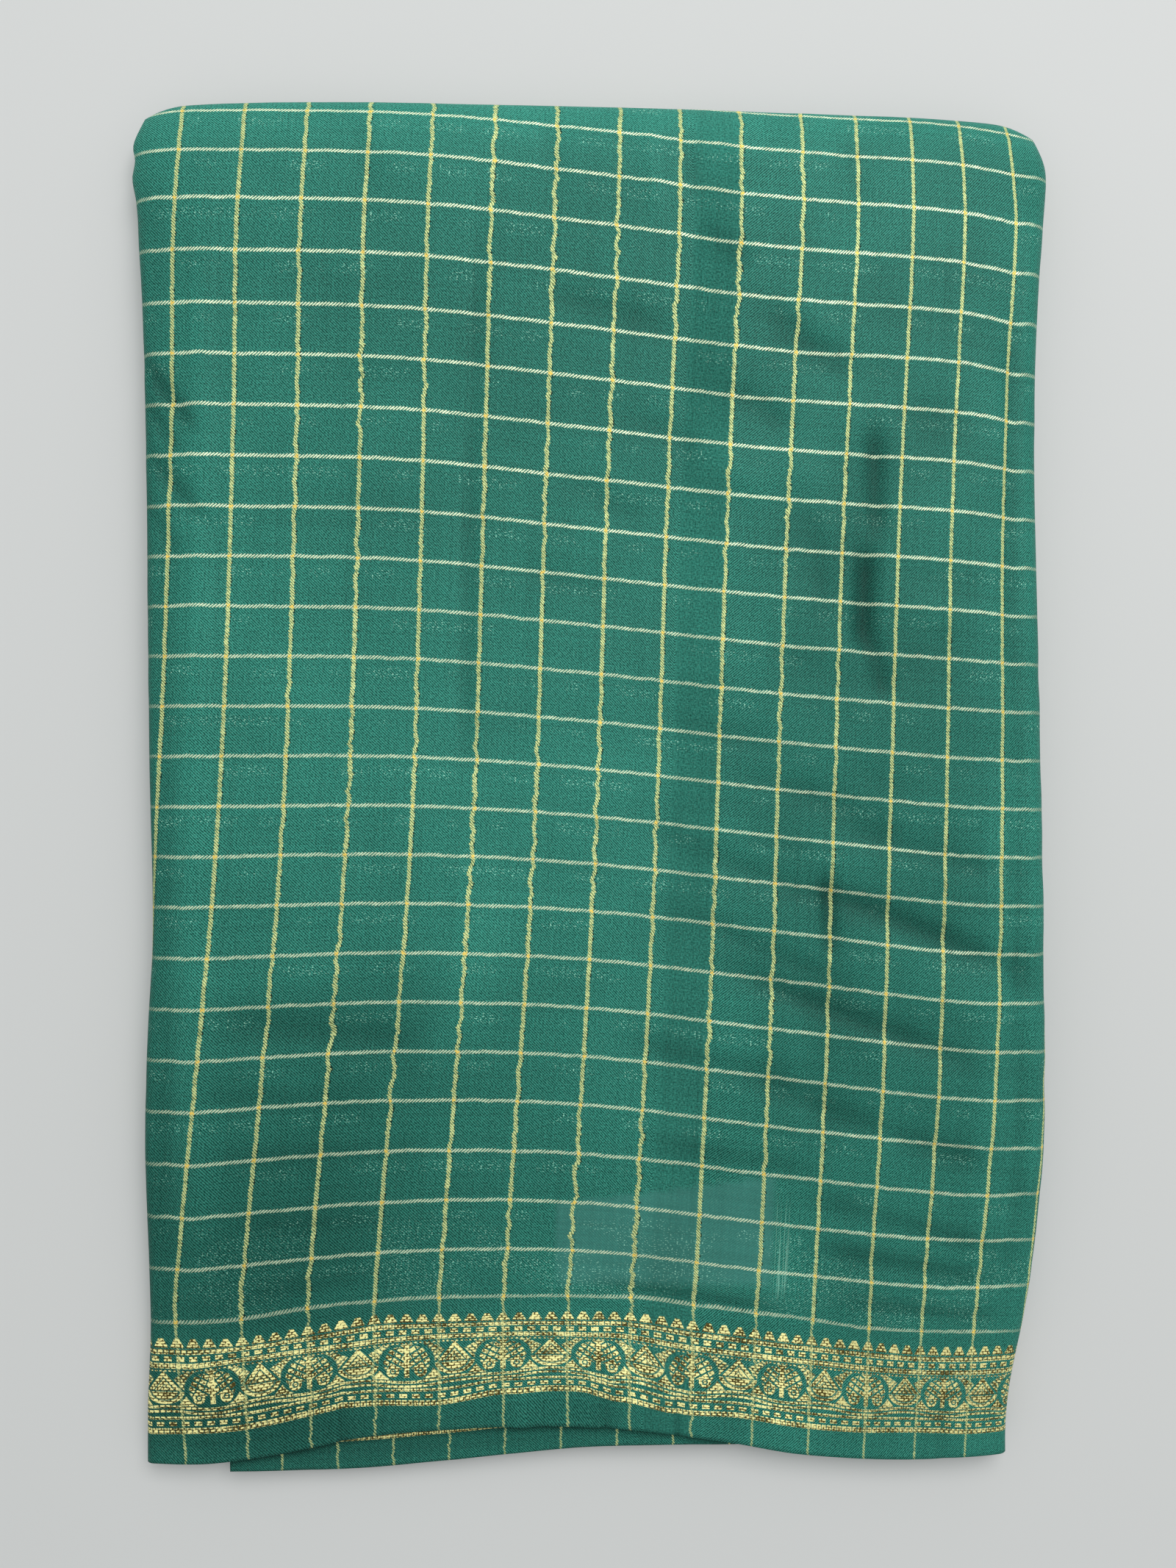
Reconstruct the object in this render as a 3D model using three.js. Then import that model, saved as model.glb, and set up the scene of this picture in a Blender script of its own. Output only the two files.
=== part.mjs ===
// A folded saree, lying flat on a table: one long woven cloth, folded lengthwise again and
// again and then once across its width, so that the last fold is at the far end (+Y) and the
// selvedges lie together at the near end (-Y).
//
// Millimetres, +Z up. The origin is at the middle of the folded cloth, on the table.
//   front_stretch   the stretch on top: it rolls over both sides and over the far fold
//   back_stretch    the same cloth carried on underneath, flat on the table
//   second_stretch  the next layer, whose selvedge peeks out at the near end
//   hidden_layers   all the folds between them, with their edges showing as ridges
import * as THREE from 'three';

// ---- driving dimensions --------------------------------------------------------------
const CLOTH = 1.2;            // wall of a stretch of cloth
const GAP = 0.3;              // space between neighbouring pieces
const FAR_END = 287.4;        // the far fold's most distant point
const CROWN = 25.0;           // height of the folded cloth over most of its length
const SIDE_TILT = 2.2;        // the right side stands this much higher, the left lower
const NEAR_HEIGHT = 13.6;     // height at the selvedges, where the layers lie close
const NEAR_TILT = 0.9;        // the same tilt at the selvedges
const SHOULDER_DROP = 3.4;    // how far the top sinks towards a rolled side
const SHOULDER_WIDTH = 34;    // over this width
const FAR_SLOPE = 3.0;        // how far the top sinks towards the far fold
const FAR_SLOPE_LENGTH = 75;  // over this length
const FAR_ROLL = 27;          // length of the roll at the far fold
const CORNER_ROLL = 23;       // width of the roll at the far corners
const ROLL_REACH = 1.25;      // a side roll's width for each millimetre of its height
const BULGE = 0.42;           // widest point of a side roll, from the middle to the top
const TUCK = 0.26;            // how far the rolls tuck in, of their half's height
const CREVICE = 0.1;          // half the crevice between the halves, of their height
const CREVICE_RIDGE = 0.9;    // how far the inner folds stand out in that crevice
const FOLD_RISE = 1.5;        // widest point above the middle at the far fold
const TURN_START = 215;       // from here on the crevice closes towards the far fold
const TURN_LENGTH = 53;       // and is closed after this length
const BACK_RECESS = 0.06;     // the lower half lies inside the upper one, by this of the height
const BACK_SHORT = 3.2;       // the lower half's selvedge ends this much short of the upper one

// How far a surface lies inside the outermost cloth, level with it and at the crevice.
const OUTERMOST = { level: 0, height: 0, seam: 0 };
const HIDDEN = { level: 2.6, height: CLOTH + 2 * GAP, seam: 0.9 };

// Soft hollow that runs along the right of the top.
const TROUGH = { x: 113, width: 15, depth: 1.3, from: 10, to: 165, fade: 35 };

// Widest points of the rolled sides.
const SIDES = [
  { y: -288, left: -185.6, right: 174.6 },
  { y: -262, left: -184.8, right: 174.8 },
  { y: -230, left: -182.4, right: 180.0 },
  { y: -200, left: -182.6, right: 184.4 },
  { y: -150, left: -184.0, right: 187.8 },
  { y: -100, left: -182.8, right: 188.4 },
  { y: -60, left: -181.0, right: 188.0 },
  { y: 10, left: -182.2, right: 186.6 },
  { y: 80, left: -182.8, right: 185.2 },
  { y: 140, left: -183.8, right: 184.0 },
  { y: 200, left: -185.2, right: 185.4 },
  { y: 235, left: -187.2, right: 188.4 },
  { y: 258, left: -190.4, right: 190.8 },
  { y: 270, left: -190.3, right: 189.6 },
  { y: 288, left: -189.0, right: 188.0 },
];

// The far fold, across the cloth.
const FAR_FOLD = [
  { x: -190, y: 284.6 },
  { x: -150, y: 286.9 },
  { x: -100, y: FAR_END },
  { x: -40, y: 286.0 },
  { x: 40, y: 284.2 },
  { x: 110, y: 282.0 },
  { x: 155, y: 279.6 },
  { x: 190, y: 276.4 },
];

// Selvedge of the front stretch, across the near end.
const FRONT_SELVEDGE = [
  { x: -190, y: -283.6 },
  { x: -160, y: -283.0 },
  { x: -130, y: -278.6 },
  { x: -93, y: -271.4 },
  { x: -50, y: -267.6 },
  { x: -15, y: -266.9 },
  { x: 20, y: -268.6 },
  { x: 60, y: -273.8 },
  { x: 92, y: -279.2 },
  { x: 133, y: -281.4 },
  { x: 190, y: -278.2 },
];

// Selvedge of the second stretch, which starts beside the left corner.
const SECOND_SELVEDGE = [
  { x: -152, y: -FAR_END },
  { x: -100, y: -286.0 },
  { x: -60, y: -282.4 },
  { x: -6, y: -277.2 },
  { x: 30, y: -275.6 },
  { x: 62, y: -275.0 },
  { x: 149, y: -274.0 },
];
const SECOND_LEFT = -152;
const SECOND_RIGHT = 149;
const SECOND_DEPTH = 52;      // how far the second stretch reaches in under the front one
const SECOND_DROOP = 1.1;     // its free edge hangs this much below the layer above
const SECOND_FREE = 10;       // over this length
const SECOND_CLEAR = 0.5;     // space between the front stretch and the second one
const SECOND_SIDE_ROOM = 23;  // the hidden layers start to rise this far beside it
const SECOND_DEEP_ROOM = 43;  // and this far behind it

// Ridges of the hidden layers at the near end, from the top down: how far each stands back.
const LAYER_EDGES = [0.0, 1.1, 0.3, 1.3, 0.6, 1.6, 0.2, 1.4, 0.7, 1.7, 0.4, 1.3, 0.1];
const LAYER_INSET = 0.34;     // hidden layers start this share of the first row further in
const LAYER_STAND = 1.7;      // how far the layers' edges stand out at the near end
const LAYER_FADE = 6;         // the ridges fade out over this many points beside the crevices

// ---- density of the sections ---------------------------------------------------------
const FLAT_COLUMNS = 20;      // across the top, between the rolls
const ROLL_STEPS = 4;         // round a roll, down to its widest point
const SKIRT_STEPS = 2;        // from there into the crevice
const NEAR_ROWS = [0, 0.024, 0.05, 0.085, 0.12];  // share of the length, near the selvedges
const FLAT_ROWS = 9;          // between those and the next
const FAR_ROWS = [0.86, 0.895, 0.93, 0.965, 1];   // near the roll of the far fold
const SECOND_COLUMNS = 24;    // across the second stretch
const SECOND_ROWS = 6;        // from its selvedge inwards

// ---- small helpers -------------------------------------------------------------------
const lerp = (a, b, t) => a + (b - a) * t;
const clamp01 = (t) => Math.min(1, Math.max(0, t));
const smooth = (t) => clamp01(t) ** 2 * (3 - 2 * clamp01(t));

// A smooth line through a table's rows: the column named value, over the column named key.
function along(table, key, value, at) {
  const last = table.length - 1;
  let row = 0;
  while (row < last - 1 && at > table[row + 1][key]) row += 1;
  const slope = (n) => {
    const before = table[Math.max(0, n - 1)];
    const after = table[Math.min(last, n + 1)];
    return (after[value] - before[value]) / (after[key] - before[key]);
  };
  const span = table[row + 1][key] - table[row][key];
  const t = clamp01((at - table[row][key]) / span);
  const t2 = t * t;
  const t3 = t2 * t;
  return (2 * t3 - 3 * t2 + 1) * table[row][value]
    + (t3 - 2 * t2 + t) * span * slope(row)
    + (3 * t2 - 2 * t3) * table[row + 1][value]
    + (t3 - t2) * span * slope(row + 1);
}

// From 0 along the sides to 1 at the far fold, where both halves become one turn.
const turn = (y) => smooth((y - TURN_START) / TURN_LENGTH);

// Height of the top surface before it rolls over an edge.
function topHeight(x, y) {
  const body = CROWN + SIDE_TILT * (x / 190);
  const near = NEAR_HEIGHT + NEAR_TILT * (x / 190);
  let height = lerp(body, near, smooth((-105 - y) / 185));
  const farther = clamp01((y - (FAR_END - FAR_ROLL - FAR_SLOPE_LENGTH)) / FAR_SLOPE_LENGTH);
  height -= FAR_SLOPE * farther ** 2;
  const fromLeft = x - along(SIDES, 'y', 'left', y);
  const fromRight = along(SIDES, 'y', 'right', y) - x;
  const shoulder = clamp01(1 - Math.min(fromLeft, fromRight) / SHOULDER_WIDTH);
  height -= SHOULDER_DROP * shoulder ** 2 * (height / CROWN);
  const hollow = Math.exp(-(((x - TROUGH.x) / TROUGH.width) ** 2));
  const reach = smooth((y - TROUGH.from) / TROUGH.fade) * smooth((TROUGH.to - y) / TROUGH.fade);
  return height - TROUGH.depth * hollow * reach;
}

// ---- the grid of one half ------------------------------------------------------------
// Columns go from the widest point of the left roll to that of the right one. Rows go from
// the near end to the widest point of the far fold. side and end are 0 on the flat, and
// run up to 1 at the widest point of a roll.
function gridColumns() {
  const columns = [];
  for (let k = ROLL_STEPS; k > 0; k -= 1) {
    columns.push({ share: 0, side: -Math.sin((k / ROLL_STEPS) * (Math.PI / 2)) });
  }
  for (let n = 0; n <= FLAT_COLUMNS; n += 1) columns.push({ share: n / FLAT_COLUMNS, side: 0 });
  for (let k = 1; k <= ROLL_STEPS; k += 1) {
    columns.push({ share: 1, side: Math.sin((k / ROLL_STEPS) * (Math.PI / 2)) });
  }
  return columns;
}

function gridRows() {
  const shares = [...NEAR_ROWS];
  for (let n = 1; n < FLAT_ROWS; n += 1) {
    shares.push(lerp(NEAR_ROWS[NEAR_ROWS.length - 1], FAR_ROWS[0], n / FLAT_ROWS));
  }
  const rows = [...shares, ...FAR_ROWS].map((share) => ({ share, end: 0 }));
  for (let k = 1; k <= ROLL_STEPS; k += 1) {
    rows.push({ share: 1, end: Math.sin((k / ROLL_STEPS) * (Math.PI / 2)) });
  }
  return rows;
}

// Room that the second stretch takes under the front one, near the selvedges.
function secondRoom(x, y) {
  const beside = Math.min(x - SECOND_LEFT, SECOND_RIGHT - x) + SECOND_SIDE_ROOM;
  const behind = along(FRONT_SELVEDGE, 'x', 'y', x) + SECOND_DEPTH + SECOND_DEEP_ROOM - y;
  return (CLOTH + 2 * GAP) * smooth((3 * beside) / SECOND_SIDE_ROOM)
    * smooth((1.7 * behind) / SECOND_DEEP_ROOM);
}

// Heights of the rolls beside a point of the edge, and how wide the side roll is there.
function rollAt(x, y, half) {
  const shoulder = topHeight(x, y);
  const middle = shoulder / 2;
  const round = turn(y);
  const up = half.upper ? 1 : -1;
  const widest = middle + up * lerp(BULGE * middle, FOLD_RISE, round);
  const seam = middle + up * lerp(CREVICE * middle + half.inside.seam, GAP / 2, round);
  const flat = half.upper ? shoulder - half.inside.height : half.inside.height;
  const tall = Math.abs(flat - widest);
  const width = lerp(ROLL_REACH * tall, CORNER_ROLL, round);
  return { flat, widest, seam, width, tuck: TUCK * middle * (1 - round) };
}

// One point of a half's surface, with the outward direction of its rim.
function gridPoint(column, row, half) {
  const { share, side } = column;
  const { end } = row;
  const { level } = half.inside;
  const outX = side * Math.sqrt(1 - end ** 2 / 2);
  const outY = end * Math.sqrt(1 - side ** 2 / 2);
  let x = 0;
  let y = lerp(-FAR_END, FAR_END - FAR_ROLL, row.share);
  let roll = null;
  for (let pass = 0; pass < 4; pass += 1) {
    const recess = level + (half.upper ? 0 : BACK_RECESS * topHeight(0, y) * (1 - turn(y)));
    const left = along(SIDES, 'y', 'left', y) + recess;
    const right = along(SIDES, 'y', 'right', y) - recess;
    const leftRoll = rollAt(left, y, half);
    const rightRoll = rollAt(right, y, half);
    const start = lerp(left + leftRoll.width, right - rightRoll.width, share);
    x = start + (side < 0 ? leftRoll.width : rightRoll.width) * outX;
    const near = along(FRONT_SELVEDGE, 'x', 'y', x) + (half.upper ? 0 : BACK_SHORT);
    const far = along(FAR_FOLD, 'x', 'y', x) - FAR_ROLL - level;
    y = lerp(near, far, row.share) + FAR_ROLL * outY;
    roll = rollAt(start, Math.min(y, far), half);
  }
  const round = Math.sqrt((1 - side ** 2) * (1 - end ** 2));
  const z = lerp(roll.widest, roll.flat, round) - (half.room ? half.room(x, y) * round : 0);
  return { point: new THREE.Vector3(x, y, z), out: new THREE.Vector3(outX, outY, 0), roll };
}

// The surface of a half, as points and four-sided faces. Each ring is one row with its
// skirts: out of the left crevice, over the cloth, and into the right one.
function halfSurface(half) {
  const columns = gridColumns();
  const rows = gridRows();
  const points = [];
  const add = (point) => points.push(point) - 1;
  const rim = new Map();
  const grid = rows.map((row) => columns.map((column) => {
    const made = gridPoint(column, row, half);
    const index = add(made.point);
    rim.set(index, made);
    return index;
  }));
  const skirt = (index) => {
    const { point, out, roll } = rim.get(index);
    const line = [index];
    for (let k = 1; k <= SKIRT_STEPS; k += 1) {
      const angle = (k / SKIRT_STEPS) * (Math.PI / 2);
      const tuck = roll.tuck * (1 - Math.cos(angle));
      const z = lerp(roll.widest, roll.seam, Math.sin(angle));
      line.push(add(new THREE.Vector3(point.x - out.x * tuck, point.y - out.y * tuck, z)));
    }
    return line;
  };
  const lastRow = rows.length - 1;
  const lastColumn = columns.length - 1;
  const edge = [
    ...grid.slice(0, lastRow).map((row) => row[0]),
    ...grid[lastRow],
    ...grid.slice(0, lastRow).reverse().map((row) => row[lastColumn]),
  ].map(skirt);
  const faces = [];
  for (let r = 0; r < lastRow; r += 1) {
    for (let c = 0; c < lastColumn; c += 1) {
      faces.push([grid[r][c], grid[r][c + 1], grid[r + 1][c + 1], grid[r + 1][c]]);
    }
  }
  for (let n = 0; n + 1 < edge.length; n += 1) {
    for (let k = 0; k < SKIRT_STEPS; k += 1) {
      faces.push([edge[n][k], edge[n + 1][k], edge[n + 1][k + 1], edge[n][k + 1]]);
    }
  }
  const ring = (r) => [
    ...edge[r].slice(1).reverse(),
    ...grid[r],
    ...edge[edge.length - 1 - r].slice(1),
  ];
  return {
    points,
    faces: half.upper ? faces : faces.map((face) => [...face].reverse()),
    nearRings: [ring(0), ring(1)],
    seam: edge.map((line) => line[SKIRT_STEPS]),
  };
}

// Outward directions at a surface's points, from its faces.
function directions(surface) {
  const out = surface.points.map(() => new THREE.Vector3());
  for (const [a, b, c, d] of surface.faces) {
    const across = new THREE.Vector3().subVectors(surface.points[c], surface.points[a]);
    const other = new THREE.Vector3().subVectors(surface.points[d], surface.points[b]);
    const normal = across.cross(other);
    for (const index of [a, b, c, d]) out[index].add(normal);
  }
  return out.map((direction) => direction.normalize());
}

// The surface's points moved inwards by a depth.
function sunk(surface, depth) {
  const normals = directions(surface);
  return surface.points.map((point, n) => point.clone().addScaledVector(normals[n], -depth));
}

// ---- closed bodies -------------------------------------------------------------------
function geometry(points, polygons) {
  const positions = points.flatMap((point) => point.toArray());
  const index = [];
  for (const polygon of polygons) {
    for (let n = 2; n < polygon.length; n += 1) index.push(polygon[0], polygon[n - 1], polygon[n]);
  }
  const made = new THREE.BufferGeometry();
  made.setAttribute('position', new THREE.Float32BufferAttribute(positions, 3));
  made.setIndex(index);
  made.computeVertexNormals();
  return made;
}

// Directed edges that belong to one face only.
function openEdges(faces) {
  const seen = new Map();
  for (const face of faces) {
    face.forEach((a, n) => {
      const b = face[(n + 1) % face.length];
      if (!seen.delete(`${b},${a}`)) seen.set(`${a},${b}`, [a, b]);
    });
  }
  return [...seen.values()];
}

// A wall of cloth: a surface, the same surface moved inwards, and the rim that joins them.
function clothWall(surface, thickness) {
  const count = surface.points.length;
  const points = [...surface.points, ...sunk(surface, thickness)];
  const inner = surface.faces.map((face) => face.map((n) => n + count).reverse());
  const rim = openEdges(surface.faces).map(([a, b]) => [b, a, a + count, b + count]);
  return geometry(points, [...surface.faces, ...inner, ...rim]);
}

// Faces between two lines of points that may have different numbers of points.
function bridge(first, second) {
  const faces = [];
  let a = 0;
  let b = 0;
  while (a < first.length - 1 || b < second.length - 1) {
    const nextA = (a + 1) / (first.length - 1);
    const nextB = (b + 1) / (second.length - 1);
    if (b === second.length - 1 || (a < first.length - 1 && nextA <= nextB)) {
      faces.push([first[a], second[b], first[a + 1]]);
      a += 1;
    } else {
      faces.push([first[a], second[b], second[b + 1]]);
      b += 1;
    }
  }
  return faces;
}

// All the folds inside: between the two halves, with ridges where their edges show.
function hiddenLayers() {
  const upper = halfSurface({ upper: true, inside: HIDDEN, room: secondRoom });
  const lower = halfSurface({ upper: false, inside: HIDDEN });
  for (const { points, nearRings: [first, next] } of [upper, lower]) {
    const moved = first.map((n, k) => points[n].clone().lerp(points[next[k]], LAYER_INSET));
    first.forEach((n, k) => { points[n] = moved[k]; });
  }
  const points = [...upper.points, ...lower.points];
  const shift = upper.points.length;
  const add = (point) => points.push(point) - 1;

  // The crevice between the halves: one line of points stands out along its middle.
  const fold = upper.seam.map((n, k) => {
    const a = points[n];
    const b = points[lower.seam[k] + shift];
    const out = new THREE.Vector3(Math.sign(a.x), 0, 0);
    const stand = CREVICE_RIDGE * (1 - turn(a.y));
    return [n, add(a.clone().lerp(b, 0.5).addScaledVector(out, stand)), lower.seam[k] + shift];
  });

  // The near end: a line of ridges down each column.
  const [upperRing] = upper.nearRings;
  const [lowerRing] = lower.nearRings;
  const lines = upperRing.map((n, k) => {
    if (k === 0) return fold[0];
    if (k === upperRing.length - 1) return fold[fold.length - 1];
    const a = points[n];
    const b = points[lowerRing[k] + shift];
    const fade = smooth(Math.min(k, upperRing.length - 1 - k) / LAYER_FADE);
    const ridges = LAYER_EDGES.map((back, level) => {
      const ridge = a.clone().lerp(b, (level + 1) / (LAYER_EDGES.length + 1));
      ridge.y -= (LAYER_STAND - back) * fade;
      return add(ridge);
    });
    return [n, ...ridges, lowerRing[k] + shift];
  });
  const faces = [
    ...upper.faces,
    ...lower.faces.map((face) => face.map((n) => n + shift)),
  ];
  for (let k = 0; k + 1 < lines.length; k += 1) faces.push(...bridge(lines[k + 1], lines[k]));
  for (let k = 0; k + 1 < fold.length; k += 1) faces.push(...bridge(fold[k], fold[k + 1]));
  return geometry(points, faces);
}

// The strip of the second stretch, from its selvedge in under the front one.
function secondStretch() {
  const stride = SECOND_COLUMNS + 1;
  const points = [];
  const faces = [];
  for (let r = 0; r <= SECOND_ROWS; r += 1) {
    for (let c = 0; c <= SECOND_COLUMNS; c += 1) {
      const x = lerp(SECOND_LEFT, SECOND_RIGHT, c / SECOND_COLUMNS);
      const front = along(FRONT_SELVEDGE, 'x', 'y', x);
      const selvedge = along(SECOND_SELVEDGE, 'x', 'y', x);
      const y = lerp(selvedge, front + SECOND_DEPTH, r / SECOND_ROWS);
      const droop = SECOND_DROOP * clamp01((front - y) / SECOND_FREE) ** 2;
      points.push(new THREE.Vector3(x, y, topHeight(x, y) - CLOTH - SECOND_CLEAR - droop));
    }
  }
  for (let r = 0; r < SECOND_ROWS; r += 1) {
    for (let c = 0; c < SECOND_COLUMNS; c += 1) {
      const n = r * stride + c;
      faces.push([n, n + 1, n + stride + 1, n + stride]);
    }
  }
  return clothWall({ points, faces }, CLOTH);
}

// ---- the saree -----------------------------------------------------------------------
const silk = { color: 0x3a7a6a, roughness: 0.55, metalness: 0.0 };
const shadedSilk = { color: 0x2b6154, roughness: 0.65, metalness: 0.0 };

function piece(name, shape, finish) {
  const mesh = new THREE.Mesh(shape, new THREE.MeshStandardMaterial(finish));
  mesh.name = name;
  return mesh;
}

const frontSurface = halfSurface({ upper: true, inside: OUTERMOST });
const backSurface = halfSurface({ upper: false, inside: OUTERMOST });

const saree = new THREE.Group();
saree.add(piece('front_stretch', clothWall(frontSurface, CLOTH), silk));
saree.add(piece('back_stretch', clothWall(backSurface, CLOTH), silk));
saree.add(piece('hidden_layers', hiddenLayers(), shadedSilk));
saree.add(piece('second_stretch', secondStretch(), silk));

export default saree;
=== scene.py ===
"""A folded silk saree with zari checks and a woven border, lying flat on a table."""
import logging
import math
from dataclasses import dataclass
from enum import Enum

import bpy
import numpy as np
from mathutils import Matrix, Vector


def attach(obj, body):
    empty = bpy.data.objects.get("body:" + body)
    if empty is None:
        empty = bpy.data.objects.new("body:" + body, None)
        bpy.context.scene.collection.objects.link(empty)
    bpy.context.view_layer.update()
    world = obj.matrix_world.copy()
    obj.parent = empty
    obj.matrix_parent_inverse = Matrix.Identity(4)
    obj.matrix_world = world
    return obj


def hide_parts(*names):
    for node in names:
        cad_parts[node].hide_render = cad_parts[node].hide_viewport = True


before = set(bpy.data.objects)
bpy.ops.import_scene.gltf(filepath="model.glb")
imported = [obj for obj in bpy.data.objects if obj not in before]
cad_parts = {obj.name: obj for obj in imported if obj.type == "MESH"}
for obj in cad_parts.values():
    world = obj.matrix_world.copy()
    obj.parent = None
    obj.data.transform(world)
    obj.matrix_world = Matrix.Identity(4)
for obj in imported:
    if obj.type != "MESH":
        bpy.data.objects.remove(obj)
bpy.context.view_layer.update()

MM = 0.001
TAU = 2 * math.pi
NOISE_CELLS = 128       # the soft noise has this many cells each way
Values = float | np.ndarray
Colour = tuple[float, float, float]
log = logging.getLogger("saree")


# ---- small helpers ------------------------------------------------------------------
def lerp(first: Values, last: Values, share: Values) -> Values:
    """Return the value at a share of the way from first to last."""
    return first + (last - first) * share


def clamp01(t: Values) -> Values:
    """Return t held between 0 and 1."""
    return np.clip(t, 0.0, 1.0)


def smooth(t: Values) -> Values:
    """Return a soft step from 0 to 1."""
    held = clamp01(t)
    return held ** 2 * (3 - 2 * held)


def between_rows(grid: np.ndarray) -> np.ndarray:
    """Return the four-sided faces between a grid's point numbers."""
    corners = [grid[:-1, :-1], grid[:-1, 1:], grid[1:, 1:], grid[1:, :-1]]
    return np.stack(corners, axis=-1).reshape(-1, 4)


def between_lines(first: np.ndarray, second: np.ndarray) -> np.ndarray:
    """Return the four-sided faces between two lines of point numbers."""
    return np.stack([first[:-1], first[1:], second[1:], second[:-1]], axis=-1)


@dataclass(frozen=True)
class Curve:
    """A smooth line through a few measured points, each a key and a value in mm."""

    knots: tuple[tuple[float, float], ...]

    def at(self, key: np.ndarray) -> np.ndarray:
        """Read the curve.

        Args:
            key: where to read it, in mm.

        Returns:
            The value there, held level beyond the ends.
        """
        keys = np.array([k for k, _ in self.knots])
        values = np.array([v for _, v in self.knots])
        key = np.asarray(key, dtype=float)
        row = np.searchsorted(keys[1:-1], key, side="left")
        before = np.maximum(np.arange(len(keys)) - 1, 0)
        after = np.minimum(np.arange(len(keys)) + 1, len(keys) - 1)
        slope = (values[after] - values[before]) / (keys[after] - keys[before])
        span = keys[row + 1] - keys[row]
        t = clamp01((key - keys[row]) / span)
        return ((2 * t ** 3 - 3 * t ** 2 + 1) * values[row]
                + (t ** 3 - 2 * t ** 2 + t) * span * slope[row]
                + (3 * t ** 2 - 2 * t ** 3) * values[row + 1]
                + (t ** 3 - t ** 2) * span * slope[row + 1])


def value_noise(x: np.ndarray, y: np.ndarray, cell: tuple[float, float], seed: int) -> np.ndarray:
    """Make soft uneven heights that are the same at each run.

    Args:
        x: places across, in mm.
        y: places along, in mm.
        cell: size of one unevenness across and along, in mm.
        seed: which set of heights.

    Returns:
        Heights around zero, about one high.
    """
    lattice = np.random.default_rng(seed).normal(0.0, 0.6, (NOISE_CELLS, NOISE_CELLS))
    gx, gy = (place / size + NOISE_CELLS // 2 for place, size in zip((x, y), cell))
    ix, iy = (np.floor(g).astype(int) % (NOISE_CELLS - 1) for g in (gx, gy))
    tx, ty = smooth(gx - np.floor(gx)), smooth(gy - np.floor(gy))
    low = lerp(lattice[iy, ix], lattice[iy, ix + 1], tx)
    high = lerp(lattice[iy + 1, ix], lattice[iy + 1, ix + 1], tx)
    return lerp(low, high, ty)


# ---- the folded form, in mm, as the solids have it ----------------------------------
CLOTH = 1.2
GAP = 0.3
FAR_END = 287.4
FAR_ROLL = 27.0
SIDE_LEFT = Curve(((-288, -187.6), (-262, -187.4), (-230, -185.8), (-200, -186.0), (-150, -186.8),
                   (-100, -185.2), (-60, -183.2), (10, -184.6), (80, -185.4), (140, -186.0),
                   (200, -187.6), (235, -189.8), (247, -191.1), (257, -193.0), (264.5, -192.0),
                   (271, -193.5), (280, -192.2), (288, -191.2)))
SIDE_RIGHT = Curve(((-288, 176.6), (-262, 176.8), (-230, 182.0), (-200, 186.6), (-150, 190.2),
                    (-100, 190.0), (-60, 189.8), (10, 188.5), (80, 187.1), (140, 185.8),
                    (200, 187.3), (235, 190.2), (258, 192.2), (270, 190.9), (288, 189.4)))
FAR_FOLD = Curve(((-190, 287.4), (-150, 289.2), (-100, 289.6), (-40, 288.2), (40, 286.0),
                  (110, 283.0), (155, 280.4), (190, 276.9)))
FRONT_SELVEDGE = Curve(((-190, -285.7), (-160, -285.1), (-130, -280.8), (-93, -273.5), (-50, -269.7),
                        (-15, -268.8), (20, -270.5), (60, -275.7), (92, -280.8), (133, -282.6),
                        (190, -279.8)))
SECOND_SELVEDGE = Curve(((-152, -289.4), (-100, -288.2), (-60, -284.6), (-6, -279.2),
                         (30, -277.6), (62, -276.9), (149, -275.6)))


def from_side(x: np.ndarray, y: np.ndarray) -> np.ndarray:
    """Return how far x, y lies in from the nearer side edge."""
    return np.minimum(x - SIDE_LEFT.at(y), SIDE_RIGHT.at(y) - x)


@dataclass(frozen=True)
class Inside:
    """How far a surface lies inside the outermost cloth, in mm."""

    level: float = 0.0
    height: float = 0.0
    seam: float = 0.0


OUTERMOST = Inside()
HIDDEN = Inside(level=2.6, height=CLOTH + 2 * GAP, seam=0.9)


@dataclass(frozen=True)
class Crease:
    """One soft trough, or a ridge where its depth is negative, in mm."""

    start: tuple[float, float]
    end: tuple[float, float]
    width: float
    depth: float
    overrun: float = 0.18       # how far it goes on past each end, as a share of its length
    fading: float = 0.42        # how much of its length fades out at each end

    def sink(self, x: np.ndarray, y: np.ndarray) -> np.ndarray:
        """Work out how far the cloth sinks.

        Args:
            x: places across.
            y: places along.

        Returns:
            The crease's depth at each place.
        """
        dx, dy = self.end[0] - self.start[0], self.end[1] - self.start[1]
        length = math.hypot(dx, dy)
        run = ((x - self.start[0]) * dx + (y - self.start[1]) * dy) / length ** 2
        aside = ((x - self.start[0]) * dy - (y - self.start[1]) * dx) / length
        fade = smooth((run + self.overrun) / self.fading) * smooth((1 + self.overrun - run) / self.fading)
        return self.depth * fade * np.exp(-(aside / self.width) ** 2)


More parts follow.
